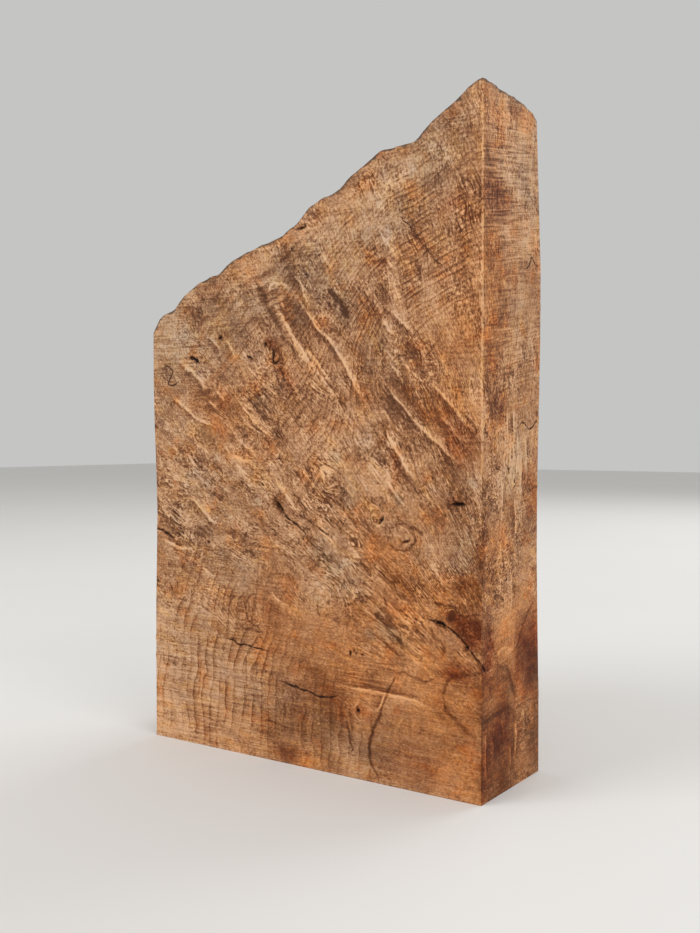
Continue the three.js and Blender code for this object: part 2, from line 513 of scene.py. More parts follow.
        Fissure(((-12, 156), (-9, 162), (-4, 165.5), (2, 165)), 0.35, 0.42),
        Fissure(((16, 224.5), (20, 220), (25, 214.5), (28, 210)), 1.1, 0.8),
    ),
    pits=(
        Pit(-12.3, 122.5, 4.0, 1.1, -46, 3.5),
        Pit(84, 127.2, 3.3, 0.75, 2, 2.5),
        Pit(-49.3, 205.2, 1.1, 0.8, 20, 1.0),
        Pit(-30.3, 194.3, 1.9, 0.7, -30, 1.0),
        Pit(-20.8, 200.5, 1.1, 0.9, 0, 1.2),
        Pit(-12.7, 145.7, 0.9, 0.5, 0, 0.8),
        Pit(45.6, 118.8, 1.1, 0.6, 30, 0.8),
        Pit(58.6, 109.9, 1.5, 0.5, 20, 0.8),
        Pit(33, 31.4, 1.0, 0.8, 0, 1.0),
        Pit(76.3, 75.2, 2.7, 1.0, -22, 2.5),
        Pit(88.8, 66.5, 1.2, 0.7, -40, 2.0),
        Pit(28.8, 57.2, 0.6, 1.0, 0, 0.8),
        Pit(30.8, 58.6, 0.5, 0.6, 0, 0.7),
        Pit(34.9, 57.2, 0.8, 0.4, 0, 0.6),
        Pit(19, 55.6, 0.4, 0.7, 0, 0.7),
        Pit(1, 253.6, 2.5, 0.7, 8, 1.2),
        Pit(-4.4, 37.5, 1.3, 0.5, -15, 0.8),
        Pit(-57.5, 103.5, 1.0, 0.6, 0, 0.5),
    ),
    stains=(
        *stains(
            Tone.COOL,
            (-80, 205, 30, 24, 0, 1.0), (-45, 212, 34, 18, 25, 0.8), (-8, 232, 30, 16, 28, 0.8),
            (15, 225, 22, 12, -50, 0.9), (45, 250, 44, 18, 30, 0.7), (70, 281, 20, 12, 45, 0.9),
            (40, 195, 16, 12, -50, 0.5), (-85, 165, 14, 25, 0, 0.6), (-60, 120, 40, 26, 0, 0.5),
            (-75, 55, 34, 36, 0, 0.4), (-35, 90, 16, 14, 0, 0.5), (18, 98, 22, 10, -38, 0.8),
            (50, 69, 11, 5, -48, 1.0), (40, 67, 4, 2.5, -40, 1.0), (88, 106, 9, 14, 0, 0.7),
            (38, 10, 12, 14, 0, 0.6), (-2, 212, 14, 4.2, -58, 0.9), (-24, 173, 7, 4, -20, 0.7),
            (28, 129, 5, 6, -45, 0.7), (20, 146, 4, 4, 0, 0.9), (-26, 126, 3, 5, 0, 1.0),
            (91, 136, 4, 3, 0, 0.9), (11, 82, 6, 10, 0, 0.7), (-15, 18, 30, 18, 0, 0.5),
            (14, 20, 14, 14, 0, 0.7), (-52, 144, 4, 5, 0, 0.7), (-73, 137, 5, 3, 0, 0.7),
            (-60, 158, 9, 3, -35, 0.7), (53, 129, 4, 3, -30, 0.9), (40, 152, 8, 9, 0, 0.5),
        ),
        *stains(
            Tone.WARM,
            (86, 14, 16, 14, 0, 1.0), (-15, 12, 40, 14, 0, 0.5), (60, 60, 40, 30, 0, 0.5),
            (84, 198, 18, 16, 0, 0.6), (82, 168, 18, 12, -40, 0.6), (-50, 170, 22, 9, -28, 0.5),
            (52, 100, 18, 8, -35, 0.9), (70, 85, 28, 12, 0, 0.7), (78, 40, 28, 30, 0, 1.0),
            (25, 50, 34, 22, 0, 0.8), (-10, 72, 34, 18, 0, 0.6), (90, 225, 9, 40, 0, 0.5),
            (57, 75, 9, 5, -40, 0.9), (15, 73, 3, 4, 0, 0.9), (40.5, 72, 4, 2.2, -40, 1.0),
            (88, 90, 10, 8, 0, 0.7), (34, 80, 8, 4, 20, 0.6), (4, 3, 12, 4, 10, 0.9),
            (43, 108, 8, 6, -30, 0.8), (-33, 147, 9, 5, -20, 0.6), (-78, 79, 10, 5, 0, 0.6),
        ),
        *stains(
            Tone.RUST,
            (-17.5, 201, 3.5, 3, 0, 0.8), (-9, 184, 4, 8, 25, 0.7), (82, 255, 9, 4, 25, 0.5),
            (91, 73.5, 8, 7, -30, 1.0), (85, 76.5, 7, 3.4, -20, 1.0), (86, 55.5, 9, 3, 8, 0.5),
            (83, 56, 8, 3.5, 15, 0.7), (62, 10, 24, 8, 0, 0.4), (37, 31, 7, 2.5, -8, 0.7),
            (-8, 6, 9, 4, 0, 0.6), (86, 152, 9, 10, -40, 0.5), (79, 160, 10, 6, -42, 0.5),
            (-78, 79, 7, 3, 0, 0.4), (46, 233.5, 4, 1.6, 8, 0.6), (83, 129.8, 3, 1.6, 10, 0.7),
            (53, 141, 3, 8, 18, 0.4),
        ),
        *stains(
            Tone.DARK,
            (-13.8, 195.5, 2.6, 5.5, 10, 1.0), (-2, 212, 13, 3.6, -58, 0.8),
            (-2.5, 194.5, 3.5, 2.2, -50, 0.9), (0.5, 190, 4, 1.5, -55, 0.7),
            (26, 212.4, 3.4, 1.9, -50, 1.0), (18, 222, 3, 1.5, -50, 0.7), (36, 186, 16, 4.5, -55, 0.35),
            (-20, 212, 34, 9, 20, 0.2), (-52, 170, 22, 7, -30, 0.3), (-46, 167, 6, 2, -60, 0.6),
            (-64, 159, 6, 1.8, -40, 0.7), (-57, 156, 4, 1.8, -20, 0.7), (-24, 173, 7, 4, -20, 0.5),
            (70, 190, 14, 10, -40, 0.35), (78, 164, 20, 9, -42, 0.45), (84, 138, 10, 16, 0, 0.25),
            (-5, 20, 38, 18, 0, 0.4), (14, 24, 14, 14, 0, 0.4), (18, 42, 30, 10, 0, 0.25),
            (58, 16, 26, 12, 0, 0.35), (86, 40, 12, 24, 0, 0.25), (60, 89, 22, 8, -20, 0.3),
            (-11, 187, 4, 9, 25, 0.6), (91, 73, 8, 6.5, -32, 1.0), (85, 76.4, 6.5, 3, -22, 1.0),
            (81, 80, 2, 3, 0, 0.8), (91, 74, 5, 5, 0, 0.6), (89, 93, 9, 11, 0, 0.7),
            (56, 168, 18, 12, -45, 0.75), (87, 108, 8, 16, 0, 0.3), (70, 266, 9, 1.8, 5, 0.8),
            (-64, 218, 5, 3.5, -40, 0.6), (31, 108, 3, 2.6, 0, 0.8), (45.5, 233.5, 5, 1.6, 8, 0.7),
            (54, 142, 2.4, 8, 14, 0.6), (18, 136, 4, 2.3, -10, 0.6), (25, 131, 5, 2, -40, 0.6),
            (70.5, 186, 2.4, 1.2, 20, 0.9), (78.5, 145, 3, 1.4, -50, 0.8), (-65.4, 106.6, 3, 1, 5, 1.0),
            (-79.5, 121, 1.6, 1.2, 0, 0.8), (-56, 128.5, 2.5, 1.2, -30, 0.8), (-49, 29.5, 5, 1.6, 0, 0.6),
            (-24, 13.5, 8, 2, -8, 0.5), (41, 49, 5, 2.5, 0, 0.5), (-8, 6, 8, 3, -10, 0.5),
            (73, 26, 10, 2, -20, 0.4),
        ),
        *stains(
            Tone.PALE,
            (-80, 36, 26, 30, 0, 0.6), (42, 262, 34, 12, 32, 0.6), (-64, 22, 40, 30, 0, 0.8),
            (10, 10, 30, 9, 0, 0.4), (36, 262, 30, 10, 32, 0.6), (-58, 14, 30, 18, 0, 0.8),
            (-86, 205, 16, 16, 0, 0.8), (-72, 22, 26, 20, 0, 0.9), (-85, 45, 14, 16, 0, 0.5),
            (30, 256, 26, 9, 30, 0.7), (-18, 238, 26, 9, 22, 0.6), (-82, 12, 22, 18, 0, 0.9),
            (88, 286, 10, 16, 0, 0.15), (40, 264, 30, 7, 30, 0.7), (-22, 241, 22, 5, 20, 0.7),
            (86, 10, 12, 10, 0, 0.5), (-62, 18, 26, 26, 0, 0.9), (-80, 32, 16, 20, 0, 0.5),
            (-60, 62, 14, 16, 0, 0.5), (-70, 198, 28, 14, 0, 0.5), (-35, 142, 16, 12, -30, 0.5),
            (-66, 116, 9, 7, -20, 0.7), (-36, 90, 14, 10, 0, 0.5), (38, 140, 13, 10, -42, 0.9),
            (10, 162, 22, 11, -45, 0.3), (66, 60, 7, 5, 0, 0.9), (10, 84, 7, 9, 0, 0.6),
            (50, 262, 24, 13, 35, 0.5), (58, 222, 40, 20, 0, 0.3), (-26, 126, 2.5, 4, 0, 0.8),
            (-6.5, 109, 5, 2.6, -5, 0.9), (91, 136, 4, 3, 0, 0.7), (4, 3, 11, 3.5, 10, 0.8),
            (36, 4, 9, 5, 0, 0.6), (-8, 126, 5, 9, 40, 0.5), (-18, 28, 3, 4, 0, 0.7),
            (28, 184, 5, 9, 35, 0.6), (57, 112, 5, 4, 0, 0.5), (75, 227, 22, 14, 0, 0.3),
        ),
        *stains(
            Tone.SAWN,
            (-70, 30, 52, 44, 0, 0.5), (-88, 205, 26, 30, 0, 0.55), (0, 240, 120, 22, 28, 0.3),
            (40, 46, 26, 9, 0, 0.6),
        ),
        *stains(
            Tone.FLECKED,
            (-66, 132, 44, 30, -30, 0.75), (6, 122, 60, 24, -36, 0.9), (40, 86, 48, 22, -38, 1.0),
            (84, 110, 20, 26, -45, 0.8), (-60, 180, 34, 12, -32, 0.5), (40, 138, 16, 12, -42, 0.8),
        ),
        *stains(
            Tone.CURLED,
            (20, 175, 60, 40, -50, 1.0), (-20, 222, 60, 20, 25, 0.9), (60, 230, 50, 50, 40, 0.8),
        ),
        *stains(
            Tone.RINGED,
            (66, 240, 42, 46, 0, 1.0), (-65, 40, 52, 56, 0, 0.9), (20, 18, 30, 20, 0, 0.5),
            (-30, 232, 60, 10, 26, 0.6),
        ),
        *stains(
            Tone.CALM,
            (-50, 26, 90, 56, 0, 1.0), (50, 14, 80, 42, 0, 1.0), (-60, 222, 60, 22, 25, 0.5),
        ),
        *stains(
            Tone.SPECKED,
            (-4, 246.5, 5, 3, 0, 1.0), (11, 245, 8, 5, -50, 1.0), (29, 57, 12, 2.5, 0, 0.8),
            (31, 13, 4, 3, 0, 0.8), (15, 236, 6, 8, 0, 0.5), (70, 276, 8, 6, 40, 0.7),
            (90, 118, 5, 10, 0, 0.5),
        ),
    ),
)

RIGHT_FIGURE = Figure(
    feathers=(
        Feather(((26, 160), (27, 146), (25, 131)), 1.0, 0.8, 0.2),
        Feather(((33, 158), (34, 148), (32, 138)), 0.9, 0.8, -0.3),
        Feather(((20, 150), (22, 138)), 0.7, 0.6, 0.2),
        Feather(((23, 168), (24, 152), (23, 136)), 0.5, 0.9, 0.5),
        Feather(((29, 170), (30, 155), (29, 139)), 0.5, 0.9, -0.5),
        Feather(((37, 150), (38, 140), (37, 124)), 0.5, 0.8, 0.4),
        Feather(((18, 141), (19, 128), (18, 116)), 0.5, 0.8, 0.5),
        Feather(((31, 131), (32, 120), (31, 108)), 0.5, 0.7, -0.4),
        Feather(((42, 158), (43, 148), (42, 136)), 0.5, 0.7, 0.4),
        Feather(((8, 28), (11, 22), (10, 14)), 0.4, 0.4, 0.5),
        Feather(((18, 34), (21, 27), (20, 22)), 0.4, 0.45, -0.5),
        Feather(((27, 21), (28, 14), (26, 5)), 0.4, 0.5, 0.5),
        Feather(((41, 32), (42, 26), (40, 19)), 0.4, 0.4, 0.5),
        Feather(((16, 112), (19, 101), (17, 91)), 0.5, 0.6, 0.4),
        Feather(((27, 100), (29, 88), (27, 78)), 0.6, 0.5, 0.3),
        Feather(((13, 61), (20, 64), (28, 62), (33, 60)), 1.2, 0.5, 0.0),
        Feather(((33, 30), (33.4, 22), (32.6, 13)), 0.8, 0.7, 0.3),
        Feather(((3.6, 30), (4, 20), (3.4, 8)), 0.5, 0.7, 0.3),
        Feather(((45, 203), (50, 195), (53, 189)), 0.7, 0.5, 0.0),
    ),
    fissures=(
        Fissure(((41, 231), (45, 233), (48, 237.5), (51, 235), (56, 234)), 0.32, 0.75, 0.2),
        Fissure(((36, 161), (38, 162.5), (41, 162), (44, 160), (47, 159.8), (51, 161.5),
                 (56, 164)), 0.3, 0.75, 0.2),
        Fissure(((44, 133), (48, 132), (52, 133.5), (57, 133)), 0.5, 0.75),
        Fissure(((0, 203), (8, 203), (14, 205), (19, 209)), 0.35, 0.6),
        Fissure(((20, 219), (27, 220.5), (34, 222)), 0.35, 0.55),
        Fissure(((4, 267), (4.4, 254)), 0.5, 0.5),
        Fissure(((8, 264), (8, 250)), 0.5, 0.55),
        Fissure(((13, 266), (13.4, 252)), 0.5, 0.5),
        Fissure(((19, 263), (19, 251)), 0.5, 0.5),
        Fissure(((27, 266), (26.6, 252)), 0.5, 0.5),
        Fissure(((31, 268), (31, 258)), 0.5, 0.4),
        Fissure(((44, 122), (45.5, 124.3), (48.5, 124.2), (50.4, 121.5), (49, 118.6), (46, 118.2),
                 (44, 120.5)), 0.5, 0.5),
        Fissure(((10, 84), (12, 87), (16, 87.5), (20, 85), (20, 81)), 0.8, 0.6),
        Fissure(((0, 60), (3, 56.5)), 0.5, 0.9, 0.6),
        Fissure(((4, 78), (8, 70), (13, 62), (17, 56), (26, 55)), 0.8, 0.35),
        Fissure(((33, 61), (38, 68), (44, 75), (52, 80.5)), 0.6, 0.55),
        Fissure(((23, 55), (27, 50), (30, 44), (32, 40)), 1.2, 0.5),
        Fissure(((0, 35), (9, 35.5), (18, 36.5), (28, 36)), 0.9, 0.4),
        Fissure(((31, 36), (30.5, 26), (31, 14)), 0.4, 0.6),
        Fissure(((44, 30), (48, 24), (52, 16), (53, 8)), 0.5, 0.5),
    ),
    stains=(
        *stains(
            Tone.RUST,
            (10, 260, 16, 10, 0, 0.6), (46, 58, 14, 20, 25, 1.0), (16, 25, 17, 12, 0, 0.9),
            (5, 64, 7, 18, 0, 0.9), (47, 121, 3.4, 3.4, 0, 0.8), (40, 138, 2.5, 6, 0, 0.6),
            (12, 168, 9, 9, 0, 0.4), (3, 10, 6, 12, 0, 0.7),
        ),
        *stains(
            Tone.DARK,
            (9, 258, 12, 8, 0, 0.5), (3, 275, 3, 6, 0, 0.7), (4, 182, 4, 16, 0, 0.6),
            (12, 168, 9, 8, 0, 0.5), (16, 218.5, 3.5, 2, 0, 0.7), (15, 193, 4, 2.2, 0, 0.6),
            (2, 135, 4, 6, 0, 0.8), (2, 118, 5, 10, 0, 0.7), (1, 95, 3, 4, 0, 0.9),
            (15, 84, 4, 2.6, 0, 0.8), (30, 118, 1.5, 6, 0, 0.6), (4, 64, 6, 14, 0, 0.7),
            (46, 52, 11, 13, 25, 0.8), (14, 35, 17, 3, 0, 0.9), (16, 24, 13, 8, 0, 0.8),
            (26, 47, 12, 7, -30, 0.4), (26, 8, 30, 7, 0, 0.3), (24, 183, 9, 4, 15, 0.35),
            (28, 22, 44, 26, 0, 0.6), (12, 20, 13, 17, 0, 0.7), (50, 56, 8, 16, 25, 0.8),
            (7, 240, 5, 26, 0, 0.4), (40, 60, 6, 14, 25, 0.5),
        ),
        *stains(
            Tone.PALE,
            (42, 270, 16, 40, 0, 0.9), (30, 148, 15, 20, 0, 1.0), (34, 190, 16, 10, 0, 0.5),
            (32, 225, 14, 26, 0, 0.5), (46, 252, 10, 14, 0, 0.5), (27, 74, 12, 14, 0, 0.6),
            (40, 95, 14, 14, 0, 0.4), (42, 9, 12, 6, 0, 0.5), (24, 290, 20, 10, 0, 0.3),
        ),
        *stains(
            Tone.COOL,
            (34, 275, 24, 22, 0, 0.6), (42, 230, 16, 60, 0, 0.5), (32, 150, 16, 18, 0, 0.7),
            (28, 118, 20, 20, 0, 0.3), (48, 28, 8, 10, 0, 0.6), (27, 48, 4, 10, 30, 0.7),
        ),
        *stains(
            Tone.FLECKED,
            (22, 20, 30, 26, 0, 1.0), (28, 130, 40, 120, 0, 0.45), (28, 148, 26, 22, 0, 1.0),
            (14, 105, 22, 28, 0, 0.9), (16, 25, 16, 14, 0, 0.7), (10, 168, 14, 12, 0, 0.7),
        ),
        *stains(
            Tone.WARM,
            (28, 150, 80, 220, 0, 0.15), (28, 40, 40, 50, 0, 0.5), (6, 215, 8, 40, 0, 0.8),
            (14, 106, 16, 14, 0, 0.7), (26, 70, 16, 16, 0, 0.6), (20, 30, 34, 34, 0, 0.6),
        ),
        *stains(Tone.SAWN, (28, 262, 44, 46, 0, 1.0), (28, 200, 44, 24, 0, 0.6)),
        *stains(Tone.CALM, (34, 225, 30, 40, 0, 0.7), (28, 70, 14, 14, 0, 0.7)),
        *stains(Tone.SPECKED, (14, 256, 14, 8, 0, 0.5), (14, 168, 9, 8, 0, 0.6), (6, 130, 6, 10, 0, 0.5)),
    ),
)


@dataclass
class SeededFigure:
    """Streaks, cracks and stains by rule, for a side that nothing was drawn for."""

    low: Point
    high: Point
    turn: float
    seed: int
    area_a_streak: float = 2600.0
    area_a_crack: float = 7000.0
    area_a_stain: float = 900.0
    tones: tuple[Tone, ...] = (
        Tone.WARM, Tone.COOL, Tone.RUST, Tone.DARK, Tone.PALE, Tone.FLECKED, Tone.FLECKED, Tone.CURLED,
        Tone.RINGED, Tone.SAWN,
    )

    def __post_init__(self) -> None:
        """Starts the side's own row of chance numbers."""
        self.chance = np.random.default_rng(self.seed)
        self.area = (self.high[0] - self.low[0]) * (self.high[1] - self.low[1])

    def _run(self, length: float, turn: float) -> tuple[Point, ...]:
        """A line that wanders a little.

        Args:
            length: Its length.
            turn: Its direction from +X in degrees.

        Returns:
            Points along it.
        """
        start = self.chance.uniform(self.low, self.high)
        way = np.array([math.cos(math.radians(turn)), math.sin(math.radians(turn))])
        bends = self.chance.normal(0, 0.03 * length, (5, 2))
        run = start + np.linspace(0, length, 5)[:, None] * way + bends
        return tuple((float(x), float(z)) for x, z in run)

    def _stain(self) -> Stain:
        """One stain of any tone.

        Returns:
            The stain.
        """
        tone = self.chance.choice(self.tones)
        x, z = self.chance.uniform(self.low, self.high)
        length = self.chance.uniform(6, 30)
        strength = self.chance.uniform(0.25, 0.8)
        return Stain(tone, x, z, length, length * self.chance.uniform(0.3, 0.6), self.turn, strength)

    def figure(self) -> Figure:
        """Draws the whole side.

        Returns:
            Its feathers, fissures and stains.
        """
        draw = self.chance
        feathers = tuple(
            Feather(
                points=self._run(draw.uniform(14, 45), self.turn + draw.normal(0, 6)),
                width=draw.uniform(0.45, 0.8),
                pale=draw.uniform(0.5, 0.85),
                flank=draw.uniform(-0.7, 0.7),
            )
            for _ in range(round(self.area / self.area_a_streak))
        )
        fissures = tuple(
            Fissure(
                points=self._run(draw.uniform(6, 22), self.turn + draw.normal(0, 25)),
                width=draw.uniform(0.35, 0.7),
                dark=draw.uniform(0.6, 0.9),
                depth=draw.choice([0.0, 0.0, 0.4]),
            )
            for _ in range(round(self.area / self.area_a_crack))
        )
        marks = tuple(self._stain() for _ in range(round(self.area / self.area_a_stain)))
        return Figure(feathers, fissures, (), marks)


def fade(value: np.ndarray, start: float, end: float) -> np.ndarray:
    """Smooth step from 0 at start to 1 at end, as the shaders use it."""
    t = np.clip((value - start) / (end - start), 0, 1)
    return t * t * (3 - 2 * t)


class Grain:
    """How the burl grew: streaks fan out from a heart beyond the lower right of the block."""

    HEART = (150.0, 10.0)
    REFERENCE_RADIUS = 220.0
    RIM_RADIUS = 295.0
    RIM_FADE = 45.0
    # Eyes that the streaks flow round: x, z and size.
    EYES = (
        (57, 111, 6.5), (43, 120, 4.5), (-15, 196, 6), (-12.5, 122.5, 4), (81, 79, 6), (18, 136, 5),
        (-78, 79, 6), (31, 108, 4), (70.5, 186, 3), (-66, 106, 5), (-36, 71, 9), (-26, 126, 4), (12, 82, 7),
        (-57, 157, 6), (-70, 118, 5), (-22, 92, 7), (34, 31, 6),
    )

    @classmethod
    def coordinates(cls, place: np.ndarray) -> np.ndarray:
        """Grain coordinates of points.

        Args:
            place: Points in millimetres, one a row.

        Returns:
            Distance along the streaks, across them, and into the block.
        """
        x = place[:, 0] - cls.HEART[0]
        z = place[:, 2] - cls.HEART[1]
        along = np.hypot(x, z)
        across = np.arctan2(z, -x) * cls.REFERENCE_RADIUS
        for eye_x, eye_z, size in cls.EYES:
            reach = math.hypot(eye_x - cls.HEART[0], eye_z - cls.HEART[1])
            away = np.hypot(place[:, 0] - eye_x, place[:, 2] - eye_z)
            turn = np.arctan2(z, -x) - math.atan2(eye_z - cls.HEART[1], cls.HEART[0] - eye_x)
            push = size**2 / (away**2 + 0.5 * size**2) * np.exp(-away / (3 * size))
            across = across - turn * cls.REFERENCE_RADIUS * push
            along = along - 0.4 * (along - reach) * push
        return np.stack([along, across, place[:, 1]], axis=1)

    @classmethod
    def rings(cls, place: np.ndarray, below: np.ndarray) -> np.ndarray:
        """Growth ring coordinate: parallel to the live edge near it, round the heart further in.

        Args:
            place: Points in millimetres, one a row.
            below: Their distance below the live edge.

        Returns:
            One number a point, in millimetres.
        """
        along = cls.coordinates(place)[:, 0]
        near_rim = np.exp(-below / cls.RIM_FADE)
        ring = along * (1 - near_rim) + (cls.RIM_RADIUS - 0.85 * below) * near_rim
        upper_right = fade(place[:, 0], -10, 60) * fade(place[:, 2], 150, 210)
        return (ring - cls.RIM_RADIUS) * (1 + 0.8 * upper_right)


def wander(spots: np.ndarray) -> np.ndarray:
    """Smooth random shift of points, about one unit wide and between -1 and 1.

    Args:
        spots: Two numbers a point.

    Returns:
        Two numbers a point.
    """
    cell = np.floor(spots)
    part = spots - cell
    part = part * part * (3 - 2 * part)
    total = np.zeros_like(spots)
    for dx in (0, 1):
        for dz in (0, 1):
            corner = cell + (dx, dz)
            share = np.abs(1 - dx - part[:, 0]) * np.abs(1 - dz - part[:, 1])
            angle = np.sin(corner @ np.array([[127.1, 269.5], [311.7, 183.3]])) * 43758.5453
            total += share[:, None] * (2 * (angle - np.floor(angle)) - 1)
    return total


class Curves:
    """Distances from points on one side to the lines and patches drawn there."""

    REACH = 4.0
    STEP = 1.2

    @classmethod
    def smooth(cls, points: Sequence[Point], stray: float = 0.0, scale: float = 2.1) -> np.ndarray:
        """A smooth run through a few points, in short steps.

        Args:
            points: Where it passes.
            stray: How far it wanders off, in millimetres.
            scale: Length of one wander, in millimetres.

        Returns:
            The run's points, one a row.
        """
        knots = np.asarray(points, dtype=float)
        padded = np.vstack([2 * knots[0] - knots[1], knots, 2 * knots[-1] - knots[-2]])
        runs = []
        for a, b, c, d in zip(padded, padded[1:], padded[2:], padded[3:]):
            count = max(2, int(np.linalg.norm(c - b) / cls.STEP))
            t = np.linspace(0, 1, count, endpoint=False)[:, None]
            bend = (2 * a - 5 * b + 4 * c - d) * t**2 + (3 * b - a - 3 * c + d) * t**3
            runs.append(b + 0.5 * ((c - a) * t + bend))
        run = np.vstack([*runs, knots[-1:]])
        return run + stray * (wander(run / scale) + 1.2 * wander(run / (2.5 * scale) + 40))

    @classmethod
    def nearest(cls, spots: np.ndarray, run: np.ndarray) -> tuple[np.ndarray, np.ndarray]:
        """Signed distance to a run of short segments.

        Args:
            spots: Points on the side, one a row.
            run: The run's points, one a row.

        Returns:
            Distance, above 0 on the left of the run, and the share of the run's length passed.
        """
        best = np.full(len(spots), np.inf)
        signed = np.full(len(spots), cls.REACH)
        share = np.zeros(len(spots))
        lengths = np.linalg.norm(np.diff(run, axis=0), axis=1)
        passed = np.concatenate([[0], np.cumsum(lengths)])
        for number, (start, end) in enumerate(zip(run, run[1:])):
            step = end - start
            away = spots - start
            along = np.clip(away @ step / max(step @ step, 1e-9), 0, 1)
            gap = away - along[:, None] * step
            distance = np.hypot(gap[:, 0], gap[:, 1])
            nearer = distance < best
            side = np.sign(step[0] * away[:, 1] - step[1] * away[:, 0])
            best = np.where(nearer, distance, best)
            signed = np.where(nearer, distance * np.where(side == 0, 1, side), signed)
            where = (passed[number] + along * lengths[number]) / passed[-1]
            share = np.where(nearer, where, share)
        return signed, share

    @classmethod
    def close(cls, spots: np.ndarray, run: np.ndarray) -> np.ndarray:
        """Which points lie within reach of a run's box.

        Args:
            spots: Points on the side, one a row.
            run: The run's points, one a row.

        Returns:
            The points' numbers.
        """
        low = run.min(axis=0) - cls.REACH
        high = run.max(axis=0) + cls.REACH
        return np.flatnonzero(((spots > low) & (spots < high)).all(axis=1))

    @staticmethod
    def ellipse(spots: np.ndarray, mark: Pit | Stain) -> np.ndarray:
        """Distance from the middle of a turned ellipse.

        Args:
            spots: Points on the side, one a row.
            mark: The ellipse.

        Returns:
            One number a point, 1 on the outline.
        """
        turn = math.radians(mark.turn)
        dx = spots[:, 0] - mark.x
        dz = spots[:, 1] - mark.z
        along = (dx * math.cos(turn) + dz * math.sin(turn)) / mark.length
        across = (dz * math.cos(turn) - dx * math.sin(turn)) / mark.width
        return np.hypot(along, across)


class Markings:
    """Values that the wood finish reads at each corner of one side.

    Lines wander off their drawn points by a stray, in millimetres.
    """

    FEATHER_STRAY = 0.35
    FISSURE_STRAY = 0.32
    FISSURE_WANDER = 1.1
    FLAT_LINE_WIDTH = 0.75
    # Darkness of a pit, above 1 for painted near-black shade inside it.
    OPEN_SHADE = 2.0

    def __init__(self, figure: Figure, spots: np.ndarray) -> None:
        """Works the figure out at points of its side.

        Args:
            figure: What is drawn there.
            spots: Points on the side in millimetres, one a row.
        """
        self.feather = np.zeros((len(spots), 3))
        self.fissure = np.zeros((len(spots), 3))
        self.patch = np.zeros((len(spots), len(Tone)))
        self.sunk = np.zeros(len(spots))
        self._draw_feathers(figure.feathers, spots)
        self._draw_fissures(figure.fissures, spots)
        self._draw_pits(figure.pits, spots)
        self._draw_stains(figure.stains, spots)

    def _draw_feathers(self, feathers: Iterable[Feather], spots: np.ndarray) -> None:
        """Works out how pale each point is, and how dark beside a feather's flank.

        Args:
            feathers: The side's feathers.
            spots: Points on the side, one a row.
        """
        for feather in feathers:
            run = Curves.smooth(feather.points, self.FEATHER_STRAY)
            near = Curves.close(spots, run)
            distance, share = Curves.nearest(spots[near], run)
            ends = fade(share, 0, 0.2) * fade(share, 1, 0.65)
            off = distance * (np.sign(feather.flank) or 1.0)
            core = 0.75 * np.exp(-((np.abs(off) / (0.7 * feather.width)) ** 1.5))
            glow = 0.34 * np.exp(np.minimum(off, 0) / 2.4) * fade(off, 0.8, -0.2) * fade(-off, 6.0, 3.0)
            light = feather.pale * ends * (core + glow)
            self.feather[near, 0] = np.maximum(self.feather[near, 0], light)
            lee = fade(off, -0.2, 1.0) * np.exp(-np.maximum(off, 0) / 2.6) * fade(off, 6.0, 3.0)
            shade = abs(feather.flank) * ends * lee
            self.feather[near, 1] = np.maximum(self.feather[near, 1], shade)

    def _draw_fissures(self, fissures: Iterable[Fissure], spots: np.ndarray) -> None:
        """Works out how near each point is to a fissure, how dark (with painted shade where open), and how
        sunk.

        Args:
            fissures: The side's fissures.
            spots: Points on the side, one a row.
        """
        for fissure in fissures:
            run = Curves.smooth(fissure.points, self.FISSURE_STRAY, self.FISSURE_WANDER)
            near = Curves.close(spots, run)
            distance, share = Curves.nearest(spots[near], run)
            taper = np.sqrt(np.clip(np.minimum(share, 1 - share) * 6, 0.02, 1))
            width = fissure.width * taper * (1.0 if fissure.depth else self.FLAT_LINE_WIDTH)
            # An open crack gets 1 more, for painted near-black shade inside it.
            dark = fissure.dark + float(fissure.depth > 0)
            self._darken(near, 1 - np.abs(distance) / (3 * width), dark)
            groove = fissure.depth * taper * np.sqrt(np.clip(1 - np.abs(distance) / width, 0, 1))
            self.sunk[near] = np.maximum(self.sunk[near], groove)

    def _draw_pits(self, pits: Iterable[Pit], spots: np.ndarray) -> None:
        """Works out the pits, as sunk bowls with painted shade inside.

        Args:
            pits: The side's pits.
            spots: Points on the side, one a row.
        """
        for pit in pits:
            rim = Curves.ellipse(spots, pit)
            near = np.flatnonzero(rim < 3)
            self._darken(near, 1 - rim[near] / 3, self.OPEN_SHADE)
            bowl = pit.depth * np.sqrt(np.clip(1 - rim[near] ** 2, 0, 1))
            self.sunk[near] = np.maximum(self.sunk[near], bowl)

    def _darken(self, near: np.ndarray, nearness: np.ndarray, dark: float) -> None:
        """Keeps the nearest and darkest line at each point.

        Args:
            near: The points' numbers.
            nearness: 1 on the line, two thirds at its edge, 0 at three half widths.
            dark: How dark the line is, above 1 where it is open, the excess painting shade inside the
                opening.
        """
        nearness = np.clip(nearness, 0, 1)
        self.fissure[near, 0] = np.maximum(self.fissure[near, 0], nearness)
        self.fissure[near, 1] = np.maximum(self.fissure[near, 1], dark * fade(nearness, 0, 0.3))

    def _draw_stains(self, stains: Iterable[Stain], spots: np.ndarray) -> None:
        """Works out each tone's strength, with soft and wandering edges.

        Args:
            stains: The side's stains.
            spots: Points on the side, one a row.
        """
        for number, mark in enumerate(stains):
            size = min(mark.length, mark.width)
            strayed = spots + 0.4 * size * wander(spots / (1.1 * size) + 7.3 * number)
            strayed += 0.2 * size * wander(spots / (0.4 * size) + 3.1 * number)
            soft = mark.strength * fade(Curves.ellipse(strayed, mark), 1.5, 0.2)
            column = self.patch[:, mark.tone.value]
            column += soft * (1 - column)


